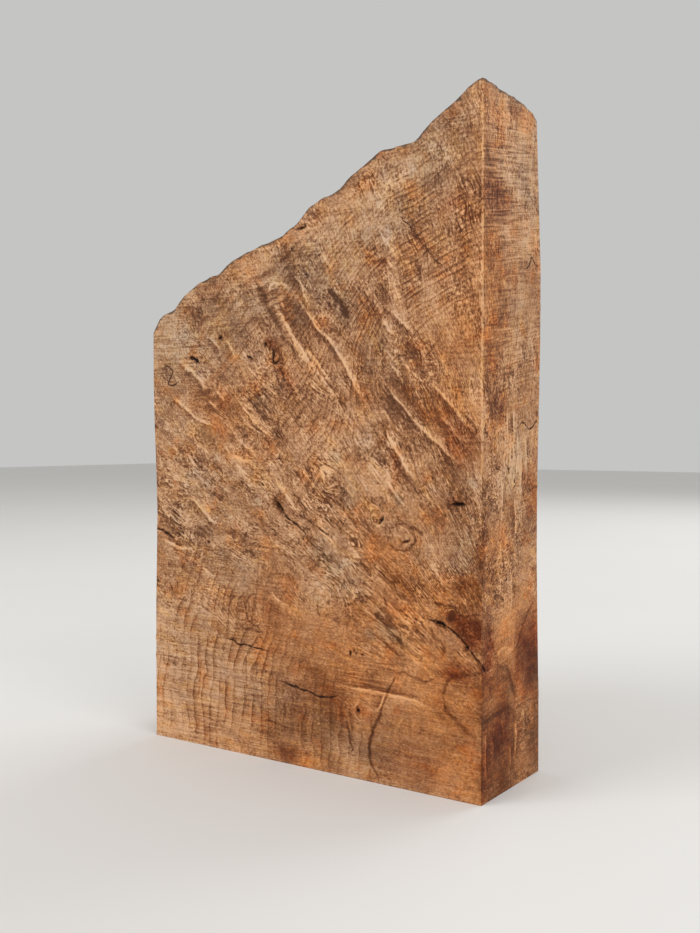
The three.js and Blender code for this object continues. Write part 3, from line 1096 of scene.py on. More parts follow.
class WoodShader(Shader):
    """The tree of a wood finish, with noise read at the place or along the grain."""

    def __init__(self, name: str) -> None:
        """Adds the place and the grain, which swirls a little as burl does.

        Args:
            name: The material's name.
        """
        super().__init__(name)
        self.place = self.millimetres()
        self.grain = self.attribute("grain")
        for scale, detail, reach in ((0.04, 1.0, (14.0, 9.0, 10.0)), (0.13, 2.0, (5.0, 1.5, 1.5))):
            values = {"Vector": self.place, "Scale": scale, "Detail": detail}
            swirl = self.node("ShaderNodeTexNoise", {}, values, output="Color")
            shift = {0: self.grain, 1: self.scaled(swirl, reach)}
            self.grain = self.node("ShaderNodeVectorMath", {"operation": "ADD"}, shift)

    def cloud(self, scale: float, detail: float = 2.0, rough: float = 0.5) -> Wire:
        """Noise at the place, with the same numbers as noise."""
        return self.noise(self.place, scale, detail, rough)

    def fibre(
        self, stretch: Sequence[float], detail: float = 2.0, rough: float = 0.5, scale: float = 1.0
    ) -> Wire:
        """Noise drawn out along the grain, with factors along it, across it and into the block."""
        return self.noise(self.scaled(self.grain, stretch), scale, detail, rough)

    @staticmethod
    def fold(noise: Wire, count: float) -> Wire:
        """Noise cut into a count of folds, each running from -0.5 to 0.5 and ending at a sharp edge."""
        return (noise * count + 10.0).math("FRACT") - 0.5


@dataclass(frozen=True)
class BurlFinish:
    """Raw sawn burl: streaks, rings, stains, cracks and saw marks.

    A tint multiplies the wood's colour. Each pattern gives light and dark around 0.
    """

    name: str = "sawn_burl"
    stops: tuple[tuple[float, Colour], ...] = (
        (0.0, (0.085, 0.030, 0.012)),
        (0.25, (0.212, 0.086, 0.037)),
        (0.5, (0.365, 0.171, 0.078)),
        (0.75, (0.535, 0.284, 0.142)),
        (1.0, (0.74, 0.45, 0.26)),
    )
    yellow: Colour = (1.10, 1.03, 0.80)
    red: Colour = (1.05, 0.82, 0.60)
    mauve: Colour = (0.84, 0.87, 0.97)
    warm: Colour = (1.06, 0.84, 0.58)
    cool: Colour = (0.84, 0.97, 1.13)
    rust: Colour = (0.72, 0.44, 0.30)
    # Colour of the painted shade in open cracks and pits, and of dark specks.
    black: Colour = (0.016, 0.010, 0.008)
    grey: Colour = (0.265, 0.185, 0.12)
    skin: Colour = (0.095, 0.060, 0.040)
    middle_tone: float = 0.572
    contrast: float = 1.9
    tone_range: float = 0.55
    ring_spacing: float = 5.2
    curl_spacing: float = 4.1
    relief: float = 0.7

    def make(self, arris: Point) -> bpy.types.Material:
        """Builds the material.

        Args:
            arris: Where the front meets the right end, across and into the block.

        Returns:
            The finished material.
        """
        wood = WoodShader(self.name)
        ring, below, calm = wood.attribute("bands").parts()
        flecked, curled, ringed = wood.attribute("figure").parts()
        dark, pale, sawn = wood.attribute("depth").parts()

        wild = (1.0 - calm * 0.8) * (0.4 + wood.cloud(0.055, 3.0, 0.6).step(-0.1, 0.14) * 0.95)
        figure = (self._streaks(wood, flecked) + self._bundles(wood, flecked) + self._hairs(wood)) * wild
        figure = figure + self._clouds(wood, flecked) + self._flecks(wood, flecked)
        figure = figure + self._curl(wood, curled)
        rings = self._ring_lines(wood, ring, self.ring_spacing) * (0.1 + ringed * 0.9) * (0.46 + calm * 0.1)
        curls = self._ring_lines(wood, ring * 1.1, self.curl_spacing) * (0.1 + curled * 0.9) * 0.4

        pebble = wood.cloud(0.75, 4.0, 0.62)
        speckle = wood.fibre((0.7, 1.5, 1.5), 2.0, 0.6)
        scratches = self._saw_marks(wood, sawn)
        # The saw scratches also go into the colour: partly their own tone, partly painted light and shade
        # of the grooves.
        fine = (pebble * 0.5 + speckle * 0.7) * (0.5 + wild * 0.5) + scratches * 0.65

        ragged = wood.cloud(0.2, 4.0, 0.65) * 1.8 + 1.0
        line, core = self._lines(wood)
        tone = self.middle_tone + (figure - rings - curls) * 1.25 + fine * 2.6
        # The arris term paints a highlight on the worn edge high up and darkens the arris low down.
        tone = tone + self._arris(wood, arris) * 1.4 + self._feathers(wood) * 1.25
        tone = tone + (pale * 0.25 - dark * 0.5) * ragged - line * 0.65
        tone = 0.5 + ((tone - 0.5) * self.contrast).math("TANH") * self.tone_range
        colour = wood.node("ShaderNodeValToRGB", {"stops": self.stops}, {0: tone})
        colour = self._hues(wood, colour)
        colour = self._tinted(wood, colour, ragged)
        colour = self._weathered(wood, colour, below)
        # Painted near-black shade in open cracks and pits, and dark specks.
        colour = wood.mix(core, colour, self.black)

        height = pebble * 0.12 + speckle * 0.12 + scratches * 0.25 - core * 0.3 - line * 0.06
        roughness = 0.62 + speckle * 0.3 + core * 0.2
        return wood.finish(colour, roughness, height, self.relief)

    @staticmethod
    def _streaks(wood: WoodShader, flecked: Wire) -> Wire:
        """Streaks along the grain, from broad folds to single fibres.

        Args:
            wood: The material's tree.
            flecked: Where the figure is wildest.

        Returns:
            The pattern.
        """
        band = wood.fibre((0.016, 0.14, 0.12))
        fold = wood.fold(wood.fibre((0.02, 0.11, 0.1), rough=0.4), 5.0)
        fibre = wood.fibre((0.16, 0.72, 0.72), 3.0, 0.62)
        fine = wood.fibre((0.35, 1.8, 1.8))
        return band * 0.5 + fold * 0.2 + fibre * (0.2 + flecked * 0.6) + fine * (0.4 + flecked * 0.3)

    @staticmethod
    def _curl(wood: WoodShader, curled: Wire) -> Wire:
        """Ripples across the grain.

        Args:
            wood: The material's tree.
            curled: Where they are strongest.

        Returns:
            The pattern.
        """
        ripple = wood.fibre((0.4, 0.07, 0.1))
        where = wood.cloud(0.06).step(-0.15, 0.15)
        return ripple * (0.1 + curled * 0.5) * (0.3 + where * 0.7)

    @staticmethod
    def _clouds(wood: WoodShader, flecked: Wire) -> Wire:
        """Uneven patches, some round, some drawn out along the grain, some with a hard edge.

        Args:
            wood: The material's tree.
            flecked: Where the figure is wildest.

        Returns:
            The pattern.
        """
        broad = wood.cloud(0.05, 3.0, 0.55)
        small = wood.cloud(0.15, 4.0, 0.62)
        drawn = wood.fibre((0.06, 0.17, 0.17), 3.0, 0.6)
        hard = wood.fold(wood.cloud(0.045, 3.0, 0.45), 5.0)
        return broad * 0.5 + (small + drawn) * (0.2 + flecked * 0.3) + hard * 0.1

    @staticmethod
    def _flecks(wood: WoodShader, flecked: Wire) -> Wire:
        """Pale splinters of grain, partly painted glints of torn fibres; dark splinters and thin dark
        veins.

        Args:
            wood: The material's tree.
            flecked: Where the figure is wildest.

        Returns:
            The pattern.
        """
        # Pale splinters: partly pale grain, partly painted highlights where torn fibres catch light.
        light = wood.fibre((0.075, 0.7, 0.7)).step(0.08, 0.2)
        deep = wood.fibre((0.08, 0.6, 0.5), 2.5, 0.55, scale=1.3).step(0.06, 0.2)
        where = wood.cloud(0.09).step(-0.12, 0.14)
        vein = abs(wood.cloud(0.085, 4.0, 0.55)).step(0.02, 0.0) * where
        splinter_glint = light * (1.15 - where * 0.6) * 0.32
        return (splinter_glint - deep * (0.25 + where * 0.75) * 0.22 - vein * 0.34) * flecked

    @staticmethod
    def _bundles(wood: WoodShader, flecked: Wire) -> Wire:
        """Edges of fibre bundles along the grain, each pale on one side and dark on the other.

        Args:
            wood: The material's tree.
            flecked: Where the figure is wildest.

        Returns:
            The pattern.
        """
        saw = wood.fold(wood.fibre((0.04, 0.2, 0.2), 3.0, 0.55), 2.6)
        where = wood.cloud(0.1, 3.0, 0.6).step(-0.04, 0.14)
        lit = saw.step(0.24, 0.5)
        shaded = saw.step(-0.24, -0.5)
        return (lit * lit * 0.6 - shaded * shaded * 0.75) * (0.1 + where * 0.9) * (0.2 + flecked * 0.8)

    @staticmethod
    def _hairs(wood: WoodShader) -> Wire:
        """Long hair lines along the grain, dark in some places and pale in others.

        Args:
            wood: The material's tree.

        Returns:
            The pattern.
        """
        dark = abs(wood.fibre((0.028, 0.3, 0.3))).step(0.035, 0.0)
        pale = abs(wood.fibre((0.03, 0.26, 0.26), scale=1.1)).step(0.03, 0.0)
        where = wood.cloud(0.08, 3.0, 0.6)
        return pale * where.step(0.0, 0.15) * 0.45 - dark * where.step(0.05, -0.12) * 0.4

    @staticmethod
    def _feathers(wood: WoodShader) -> Wire:
        """The pale streaks and their dark flanks, broken into strands along the grain.

        Args:
            wood: The material's tree.

        Returns:
            The pattern.
        """
        pale, shade, _ = wood.attribute("feather").parts()
        ragged = wood.fibre((0.14, 0.9, 0.9), 3.0, 0.6) * 1.6 + wood.cloud(0.3, 3.0, 0.65) * 1.2
        return pale * (1.0 + ragged * 1.7) * 0.85 - shade * (1.0 + ragged * 1.2) * 0.6

    @staticmethod
    def _ring_lines(wood: WoodShader, ring: Wire, spacing: float) -> Wire:
        """Growth rings, each darkening to a thin line.

        Args:
            wood: The material's tree.
            ring: The ring coordinate.
            spacing: Millimetres from line to line.

        Returns:
            Darkness from 0 to 1.
        """
        wobbled = ring + wood.cloud(0.03) * 14.0 + wood.cloud(0.1, 3.0, 0.55) * 5.0
        saw = (wobbled / spacing + 100.0).math("FRACT")
        strength = wood.cloud(0.07).step(-0.18, 0.12)
        line = saw.math("POWER", 6.0) * saw.step(1.0, 0.95)
        return (saw * saw * 0.45 + line * 0.7) * (0.2 + strength * 0.8)

    @staticmethod
    def _saw_marks(wood: WoodShader, sawn: Wire) -> Wire:
        """Level scratches of the saw: relief, and in the colour partly painted light and shade.

        Args:
            wood: The material's tree.
            sawn: Where they are deepest.

        Returns:
            The pattern.
        """
        across, into, up = wood.place.parts()
        level = up - into * 0.18
        fine = wood.noise(wood.vector(across * 0.04, into * 0.06, level * 1.4), 1.0, 2.0, 0.6)
        coarse = wood.noise(wood.vector(across * 0.05, into * 0.05, level * 0.7), 1.0)
        return fine * (0.3 + sawn * 0.7) + coarse.step(-0.12, 0.12) * sawn * 0.16 - sawn * 0.08

    @staticmethod
    def _arris(wood: WoodShader, arris: Point) -> Wire:
        """The nearest arris: painted highlight on its worn edge high up, and darker low down.

        Args:
            wood: The material's tree.
            arris: Where it lies, across and into the block.

        Returns:
            The pattern.
        """
        across, into, up = wood.place.parts()
        away = arris[0] - across + into - arris[1] + wood.cloud(0.4) * 0.8
        # Painted highlight where the worn arris catches light, high up; lower down the arris is darker.
        rubbed_highlight = away.step(1.1, 0.3) * up.step(120.0, 175.0)
        darker_low_down = away.step(5.0, 0.0) * up.step(130.0, 100.0)
        return rubbed_highlight * 0.3 - darker_low_down * 0.14

    @staticmethod
    def _lines(wood: WoodShader) -> tuple[Wire, Wire]:
        """Fissures, pits and specks.

        Args:
            wood: The material's tree.

        Returns:
            How dark they are, and how black: painted shade where open, dark specks elsewhere; each from 0
                to 1.
        """
        nearness, dark, specked = wood.attribute("fissure").parts()
        ragged = nearness + wood.cloud(1.1, 3.0, 0.6) * 0.6 + wood.cloud(0.35) * 0.6
        line = ragged.step(0.2, 1.0) * dark.held() * (1.0 + wood.cloud(0.12, 3.0, 0.6) * 1.6)
        # Painted near-black shade inside open cracks and pits.
        core = ragged.step(0.62, 0.86) * dark.step(1.0, 1.9)
        specks = wood.cloud(0.6, 3.0, 0.65).step(0.1, 0.17) * specked.step(0.1, 0.6)
        return line, core.math("MAXIMUM", specks * 0.85)

    def _hues(self, wood: WoodShader, colour: Wire) -> Wire:
        """Drifts of yellower, redder and greyer wood.

        Args:
            wood: The material's tree.
            colour: The wood's colour.

        Returns:
            The changed colour.
        """
        yellow = wood.fibre((0.05, 0.2, 0.2), 4.0, 0.65)
        red = wood.cloud(0.07, 4.0, 0.62)
        colour = wood.mix(yellow.step(-0.05, 0.22), colour, self.yellow, "MULTIPLY")
        colour = wood.mix(red.step(0.0, 0.2), colour, self.red, "MULTIPLY")
        return wood.mix(red.step(-0.02, -0.22), colour, self.mauve, "MULTIPLY")

    def _tinted(self, wood: WoodShader, colour: Wire, ragged: Wire) -> Wire:
        """Lays warm, cool and rust stains over the wood.

        Args:
            wood: The material's tree.
            colour: The wood's colour.
            ragged: How the stains' strength varies from place to place, around 1.

        Returns:
            The changed colour.
        """
        warm, cool, rust = wood.attribute("tint").parts()
        for mask, tint in ((warm, self.warm), (cool, self.cool), (rust, self.rust)):
            colour = wood.mix((mask * ragged).held(), colour, tint, "MULTIPLY")
        return colour

    def _weathered(self, wood: WoodShader, colour: Wire, below: Wire) -> Wire:
        """Darkens the wood just under the live edge.

        Args:
            wood: The material's tree.
            colour: The wood's colour.
            below: The distance below the live edge.

        Returns:
            The changed colour.
        """
        ragged = below + wood.cloud(0.25, 3.0, 0.65) * 6.0 + 0.5
        colour = wood.mix(ragged.step(7.0, 1.0) * 0.12, colour, self.grey)
        return wood.mix(ragged.step(1.7, 0.5) * 0.9, colour, self.skin)


@dataclass(frozen=True)
class SkinFinish:
    """The weathered outside of the burl along the live edge."""

    name: str = "weathered_live_edge"
    stops: tuple[tuple[float, Colour], ...] = (
        (0.1, (0.034, 0.021, 0.014)),
        (0.45, (0.135, 0.083, 0.052)),
        (0.7, (0.25, 0.165, 0.105)),
        (0.95, (0.30, 0.225, 0.16)),
    )

    def make(self) -> bpy.types.Material:
        """Builds the material.

        Returns:
            The finished material.
        """
        shader = Shader(self.name)
        place = shader.millimetres()
        cloud = shader.noise(place, 0.09, 4.0, 0.6)
        grit = shader.noise(place, 0.8, 4.0, 0.65)
        furrow = shader.noise(shader.scaled(place, (0.35, 1.5, 0.35)), 1.0, 3.0, 0.6)
        tone = 0.5 + cloud * 0.9 + grit * 0.7 + furrow * 0.9
        colour = shader.node("ShaderNodeValToRGB", {"stops": self.stops}, {0: tone})
        height = grit * 0.5 + furrow * 0.6
        return shader.finish(colour, 0.85 + grit * 0.2, height, 0.9)


@dataclass(frozen=True)
class FloorFinish:
    """A plain pale floor."""

    name: str = "pale_floor"
    colour: Colour = (0.78, 0.77, 0.75)

    def make(self) -> bpy.types.Material:
        """Builds the material.

        Returns:
            The finished material.
        """
        shader = Shader(self.name)
        cloud = shader.noise(shader.millimetres(), 0.004, 2.0)
        tint = shader.mix(cloud + 0.5, tuple(c * 0.96 for c in self.colour), self.colour)
        return shader.finish(tint, 0.75, cloud, 0.0)


@dataclass
class LiveEdgeRelief:
    """A geometry tree that raises knobs and furrows on the live edge and gives the sides their finish."""

    knob_size: float = 10.0
    knob_height: float = 2.2
    ridge_height: float = 1.4
    seed: int = 4

    def tree(self, wood: bpy.types.Material, skin: bpy.types.Material) -> bpy.types.GeometryNodeTree:
        """Builds the tree.

        Args:
            wood: Finish of the sawn sides.
            skin: Finish of the live edge.

        Returns:
            The tree, with its sizes as named inputs.
        """
        group = bpy.data.node_groups.new("live_edge_relief", "GeometryNodeTree")
        face = group.interface
        face.new_socket("Geometry", in_out="INPUT", socket_type="NodeSocketGeometry")
        for name in ("Knob Size", "Knob Height", "Ridge Height", "Seed"):
            face.new_socket(name, in_out="INPUT", socket_type="NodeSocketFloat")
        face.new_socket("Geometry", in_out="OUTPUT", socket_type="NodeSocketGeometry")
        nodes = NodeTree(group)
        given = nodes.node("NodeGroupInput")
        outputs = given.socket.node.outputs
        size, knob, ridge, seed = (Wire(nodes, outputs[i]) for i in range(1, 5))
        place = nodes.scaled(nodes.node("GeometryNodeInputPosition"), (1 / MM,) * 3)
        live = self._named(nodes, "live")
        cells = nodes.node(
            "ShaderNodeTexVoronoi",
            {"feature": "SMOOTH_F1", "voronoi_dimensions": "4D"},
            {"Vector": place, "W": seed, "Scale": 1.0 / size, "Smoothness": 0.4},
        )
        drawn = nodes.scaled(place, (0.12, 0.32, 0.12))
        ridges = nodes.node(
            "ShaderNodeTexNoise",
            {"noise_dimensions": "4D"},
            {"Vector": drawn, "W": seed, "Scale": 1.0, "Detail": 3.0, "Roughness": 0.55},
        )
        rise = (0.45 - cells) * knob + (ridges - 0.5) * ridge * 2.0
        offset = nodes.vector(0.0, 0.0, rise * live * MM)
        moved = nodes.node("GeometryNodeSetPosition", {}, {"Geometry": given, "Offset": offset})
        solid = nodes.node("GeometryNodeRealizeInstances", {}, {0: moved})
        dressed = nodes.node("GeometryNodeSetMaterial", {}, {"Geometry": solid, "Material": wood})
        top = {"Geometry": dressed, "Material": skin, "Selection": self._named(nodes, "skin")}
        topped = nodes.node("GeometryNodeSetMaterial", {}, top)
        nodes.node("NodeGroupOutput", {}, {0: topped})
        return group

    @staticmethod
    def _named(nodes: NodeTree, name: str) -> Wire:
        """A number stored on the mesh."""
        return nodes.node("GeometryNodeInputNamedAttribute", {"data_type": "FLOAT"}, {"Name": name})

    def apply(self, piece: bpy.types.Object, wood: bpy.types.Material, skin: bpy.types.Material) -> None:
        """Runs the tree on a piece and leaves a plain mesh.

        Args:
            piece: The block.
            wood: Finish of the sawn sides.
            skin: Finish of the live edge.
        """
        group = self.tree(wood, skin)
        modifier = piece.modifiers.new("relief", "NODES")
        modifier.node_group = group
        values = {
            "Knob Size": self.knob_size,
            "Knob Height": self.knob_height,
            "Ridge Height": self.ridge_height,
            "Seed": float(self.seed),
        }
        for item in group.interface.items_tree:
            if item.in_out == "INPUT" and item.name in values:
                modifier[item.identifier] = values[item.name]
        graph = bpy.context.evaluated_depsgraph_get()
        mesh = bpy.data.meshes.new_from_object(
            piece.evaluated_get(graph), depsgraph=graph, preserve_all_data_layers=True
        )
        piece.modifiers.clear()
        plain = piece.data
        piece.data = mesh
        bpy.data.meshes.remove(plain)


def read(items: bpy.types.bpy_prop_collection, name: str, kind: type = float, width: int = 1) -> np.ndarray:
    """Reads one value of every item of a mesh.

    Args:
        items: The points, corners or faces.
        name: The value's name.
        kind: The type of its numbers.
        width: How many numbers each item has.

    Returns:
        The numbers in one row.
    """
    values = np.zeros(len(items) * width, dtype=kind)
    items.foreach_get(name, values)
    return values


@dataclass
class BurlBlock:
    """The whole block as one fine lattice over the solid."""

    name: str = "burl"
    spacing: float = 2.2
    side_spacing: float = 1.8
    arris_cell: float = 0.5
    arris_wear: float = 0.22
    deepest_inset: float = 4.0
    back_rounding: float = 4.0
    refine_reach: float = 0.65
    refine_cuts: int = 3
    relief: LiveEdgeRelief = field(default_factory=LiveEdgeRelief)
    wood: BurlFinish = field(default_factory=BurlFinish)
    skin: SkinFinish = field(default_factory=SkinFinish)

    def __post_init__(self) -> None:
        """Reads the solid's box and surface from the frame."""
        low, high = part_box(NODE)
        self.low = np.array(low) / MM
        self.high = np.array(high) / MM
        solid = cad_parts[NODE].data
        corners = [v.co / MM for v in solid.vertices]
        self.surface = BVHTree.FromPolygons(corners, [p.vertices[:] for p in solid.polygons])

    def _lines(self, axis: int, step: float) -> np.ndarray:
        """Lattice lines across the block, close together beside the arrises.

        Args:
            axis: 0 for the width, 1 for the thickness, 2 for the height.
            step: About how far apart they lie.

        Returns:
            Their places, from low to high.
        """
        low, high = self.low[axis], self.high[axis]
        count = int(round((high - low - 2 * self.arris_cell) / step))
        inner = np.linspace(low + self.arris_cell, high - self.arris_cell, count + 1)
        return np.concatenate([[low], inner, [high]])

    def _hit(self, start: tuple[float, float, float], way: tuple[float, float, float]) -> Vector | None:
        """Where a ray meets the solid."""
        return self.surface.ray_cast(Vector(start), Vector(way))[0]

    def _heights(self, xs: np.ndarray, ys: np.ndarray) -> np.ndarray:
        """Height of the live edge over a grid, with the solid's facets smoothed out.

        Args:
            xs: Places along the width.
            ys: Places along the thickness.

        Returns:
            Heights, one row for each place along the width.
        """
        inset = 0.06
        grid = np.zeros((len(xs), len(ys)))
        shifts = ((0.0, 0.0), (0.04, 0.03), (-0.04, 0.05))
        front, back = self.low[1], self.high[1]
        for i, x in enumerate(np.clip(xs, self.low[0] + inset, self.high[0] - inset)):
            last = self.high[2]
            lowest = 0.6 * last
            for j, share in enumerate((ys - front) / (back - front)):
                behind = self._hit((x, back + 5, last - self.back_rounding), (0, -1, 0))
                edge = behind.y if j and behind is not None else back
                y = np.clip(front + share * (edge - front), front + inset, edge - 6 * inset)
                hits = [self._hit((x + dx, y + dy, self.high[2] + 5), (0, 0, -1)) for dx, dy in shifts]
                found = [hit.z for hit in hits if hit is not None and hit.z > lowest]
                last = max(found) if found else last
                lowest = last - 3 * self.back_rounding
                grid[i, j] = last
        kernel = np.array([0.2, 0.6, 0.2])
        wide = np.pad(grid, ((1, 1), (1, 1)), mode="reflect", reflect_type="odd")
        wide = sum(k * wide[n : n + grid.shape[0], :] for n, k in enumerate(kernel))
        return sum(k * wide[:, n : n + grid.shape[1]] for n, k in enumerate(kernel))

    def _depths(self, xs: np.ndarray, zs: np.ndarray) -> np.ndarray:
        """Where the sawn back lies over a grid of widths and heights.

        Args:
            xs: Places along the width.
            zs: Heights at each of them, one row a place.

        Returns:
            How far back it lies at each height.
        """
        inset = 3.0
        grid = np.zeros((len(xs), zs.shape[1]))
        for i, x in enumerate(np.clip(xs, self.low[0] + inset, self.high[0] - inset)):
            last = self.high[1]
            for k in range(zs.shape[1]):
                hit = self._hit((x, self.high[1] + 5, max(zs[i, k], 0.1)), (0, -1, 0))
                last = hit.y if hit is not None and hit.y > 0 else last
                grid[i, k] = last
        return grid

    def _insets(self, zs: np.ndarray) -> np.ndarray:
        """How far the left end stands in.

        Args:
            zs: Heights.

        Returns:
            One number a height.
        """
        hits = [self._hit((self.low[0] - 5, 0, min(z, self.high[2])), (1, 0, 0)) for z in zs]
        inset = np.array([h.x - self.low[0] if h is not None else np.inf for h in hits])
        return np.where(inset < self.deepest_inset, inset, 0)

    def _lattice(self) -> tuple[np.ndarray, np.ndarray, np.ndarray, np.ndarray]:
        """Points and faces of the lattice.

        Returns:
            Points, faces of four points, the side of each face, and each point's distance below
            the live edge.
        """
        xs = self._lines(0, self.spacing)
        ys = self._lines(1, self.side_spacing)
        ws = self._lines(2, self.spacing) / self.high[2]
        heights = self._heights(xs, ys)
        z = heights[:, :, None] * ws[None, None, :]
        backs = self._depths(xs, z[:, -1, :])
        through = (ys - self.low[1]) / (self.high[1] - self.low[1])
        y = self.low[1] + through[None, :, None] * (backs - self.low[1])[:, None, :]
        levels = np.linspace(0, self.high[2], 120)
        inset = np.interp(z, levels, self._insets(np.maximum(levels, 0.1)))
        leftward = (self.high[0] - xs) / (self.high[0] - self.low[0])
        x = xs[:, None, None] + inset * leftward[:, None, None]
        below = heights[:, :, None] - z
        shape = z.shape
        numbers = np.full(shape, -1)
        shell = np.ones(shape, dtype=bool)
        shell[1:-1, 1:-1, 1:-1] = False
        numbers[shell] = np.arange(shell.sum())
        points = np.stack([x[shell], y[shell], z[shell]], axis=1)
        sides = {
            Side.FRONT: numbers[:, 0, :],
            Side.BACK: numbers[::-1, -1, :],
            Side.LEFT: numbers[0, ::-1, :],
            Side.RIGHT: numbers[-1, :, :],
            Side.BASE: numbers[::-1, :, 0],
            Side.LIVE_EDGE: numbers[:, :, -1],
        }
        faces, owners = [], []
        for side, grid in sides.items():
            quads = np.stack([grid[:-1, :-1], grid[1:, :-1], grid[1:, 1:], grid[:-1, 1:]], axis=-1)
            faces.append(quads.reshape(-1, 4))
            owners.append(np.full(len(faces[-1]), side.value))
        return points, np.vstack(faces), np.concatenate(owners), below[shell]

    @staticmethod
    def spots(side: Side, place: np.ndarray, low: np.ndarray) -> np.ndarray:
        """Points of a side as the flat places that its figure is drawn on.

        Args:
            side: The side.
            place: Points in millimetres, one a row.
            low: The block's lowest corner.

        Returns:
            Two numbers a point: width and height, depth and height, or width and depth.
        """
        if side in (Side.FRONT, Side.BACK):
            return place[:, [0, 2]]
        if side in (Side.LEFT, Side.RIGHT):
            return np.stack([place[:, 1] - low[1], place[:, 2]], axis=1)
        return place[:, [0, 1]]

    def _figures(self) -> dict[Side, Figure]:
        """What is drawn on each side, by rule where it is out of sight.

        Returns:
            A figure for each side.
        """
        left, front, _ = self.low
        right, back, top = self.high
        return {
            Side.FRONT: FRONT_FIGURE,
            Side.BACK: SeededFigure((left, 5.0), (right, 0.75 * top), -48.0, 3).figure(),
            Side.LEFT: SeededFigure((0.0, 5.0), (back - front, 0.65 * top), -80.0, 5).figure(),
            Side.RIGHT: RIGHT_FIGURE,
            Side.BASE: SeededFigure((left, front), (right, back), 4.0, 7).figure(),
            Side.LIVE_EDGE: Figure(),
        }

    def _finer(self, middles: np.ndarray, owners: np.ndarray) -> np.ndarray:
        """Picks the faces along a line or round a pit.

        Args:
            middles: The middle of each face.
            owners: The side of each face.

        Returns:
            True for each face that is to be split.
        """
        split = np.zeros(len(middles), dtype=bool)
        for side, figure in self._figures().items():
            mine = np.flatnonzero(owners == side.value)
            flat = self.spots(side, middles[mine], self.low)
            for mark in (*figure.fissures, *figure.feathers):
                run = Curves.smooth(mark.points)
                near = Curves.close(flat, run)
                distance = np.abs(Curves.nearest(flat[near], run)[0])
                split[mine[near[distance < 1.2 * mark.width + self.refine_reach]]] = True
            for pit in figure.pits:
                reach = self.refine_reach
                grown = replace(pit, length=pit.length + reach, width=pit.width + reach)
                split[mine[Curves.ellipse(flat, grown) < 1]] = True
        return split

    def _refined(
        self, points: np.ndarray, faces: np.ndarray, owners: np.ndarray, below: np.ndarray
    ) -> bmesh.types.BMesh:
        """The lattice as a mesh, finer along every crack and round every pit.

        Args:
            points: The lattice's points.
            faces: Its faces.
            owners: The side of each face.
            below: Each point's distance below the live edge.

        Returns:
            The mesh, with its sides and distances stored.
        """
        bm = bmesh.new()
        under = bm.verts.layers.float.new("below")
        owner = bm.faces.layers.int.new("side")
        verts = []
        for place, distance in zip(points, below):
            vert = bm.verts.new(place)
            vert[under] = distance
            verts.append(vert)
        split = self._finer(points[faces].mean(axis=1), owners)
        chosen = []
        for quad, side, finer in zip(faces, owners, split):
            face = bm.faces.new([verts[n] for n in quad])
            face[owner] = int(side)
            face.smooth = True
            if finer:
                chosen.append(face)
        edges = list({edge for face in chosen for edge in face.edges})
        bmesh.ops.subdivide_edges(bm, edges=edges, cuts=self.refine_cuts, use_grid_fill=True)
        bmesh.ops.triangulate(bm, faces=[f for f in bm.faces if len(f.verts) > 4])
        return bm

    def build(self) -> bpy.types.Object:
        """Makes the block's mesh, with all that its finishes read.

        Returns:
            The block, still without finishes or a body.
        """
        bm = self._refined(*self._lattice())
        mesh = bpy.data.meshes.new(self.name)
        bm.to_mesh(mesh)
        bm.free()
        place = read(mesh.vertices, "co", width=3).reshape(-1, 3)
        owners = read(mesh.attributes["side"].data, "value", np.int32)
        corners = read(mesh.loops, "vertex_index", np.int32)
        corner_side = np.repeat(owners, read(mesh.polygons, "loop_total", np.int32))
        sunk = self._mark(mesh, place, corners, corner_side)
        self._mark_live_edge(mesh, owners)
        moved = self._worn(place, corners, corner_side, sunk)
        mesh.vertices.foreach_set("co", (moved * MM).ravel())
        mesh.update()
        piece = bpy.data.objects.new(self.name, mesh)
        bpy.context.scene.collection.objects.link(piece)
        return piece

    def dress(self, piece: bpy.types.Object) -> None:
        """Raises the relief of the live edge and gives the block its finishes."""
        wood = self.wood.make((float(self.high[0]), float(self.low[1])))
        self.relief.apply(piece, wood, self.skin.make())

    @staticmethod
    def _mark_live_edge(mesh: bpy.types.Mesh, owners: np.ndarray) -> None:
        """Stores where the relief rises, and which faces have the skin.

        Args:
            mesh: The mesh.
            owners: The side of each face.
        """
        live = fade(read(mesh.attributes["below"].data, "value"), 8.0, 0.0)
        mesh.attributes.new("live", "FLOAT", "POINT").data.foreach_set("value", live.astype(np.float32))
        skin = (owners == Side.LIVE_EDGE.value).astype(np.float32)
        mesh.attributes.new("skin", "FLOAT", "FACE").data.foreach_set("value", skin)

    def _mark(
        self, mesh: bpy.types.Mesh, place: np.ndarray, corners: np.ndarray, corner_side: np.ndarray
    ) -> dict[Side, np.ndarray]:
        """Stores what the wood finish reads, at every corner of every face.

        Args:
            mesh: The mesh.
            place: Its points in millimetres.
            corners: The point of each face corner.
            corner_side: The side of each face corner.

        Returns:
            How far each point is sunk into each side.
        """
        below = read(mesh.attributes["below"].data, "value")
        values = {name: np.zeros((len(corners), 3)) for name in ("feather", "fissure", *TONE_ATTRIBUTES)}
        sunk = {}
        calm = np.zeros(len(corners))
        for side, figure in self._figures().items():
            marks = Markings(figure, self.spots(side, place, self.low))
            mine = corner_side == side.value
            points = corners[mine]
            values["feather"][mine] = marks.feather[points]
            values["fissure"][mine] = marks.fissure[points]
            for name, tones in TONE_ATTRIBUTES.items():
                values[name][mine] = marks.patch[points][:, [tone.value for tone in tones]]
            calm[mine] = marks.patch[points, Tone.CALM.value]
            values["fissure"][mine, 2] = marks.patch[points, Tone.SPECKED.value]
            sunk[side] = marks.sunk
        values["grain"] = Grain.coordinates(place)[corners]
        values["bands"] = np.stack([Grain.rings(place, below)[corners], below[corners], calm], axis=1)
        for name, data in values.items():
            layer = mesh.attributes.new(name, "FLOAT_VECTOR", "CORNER")
            layer.data.foreach_set("vector", data.ravel().astype(np.float32))
        return sunk

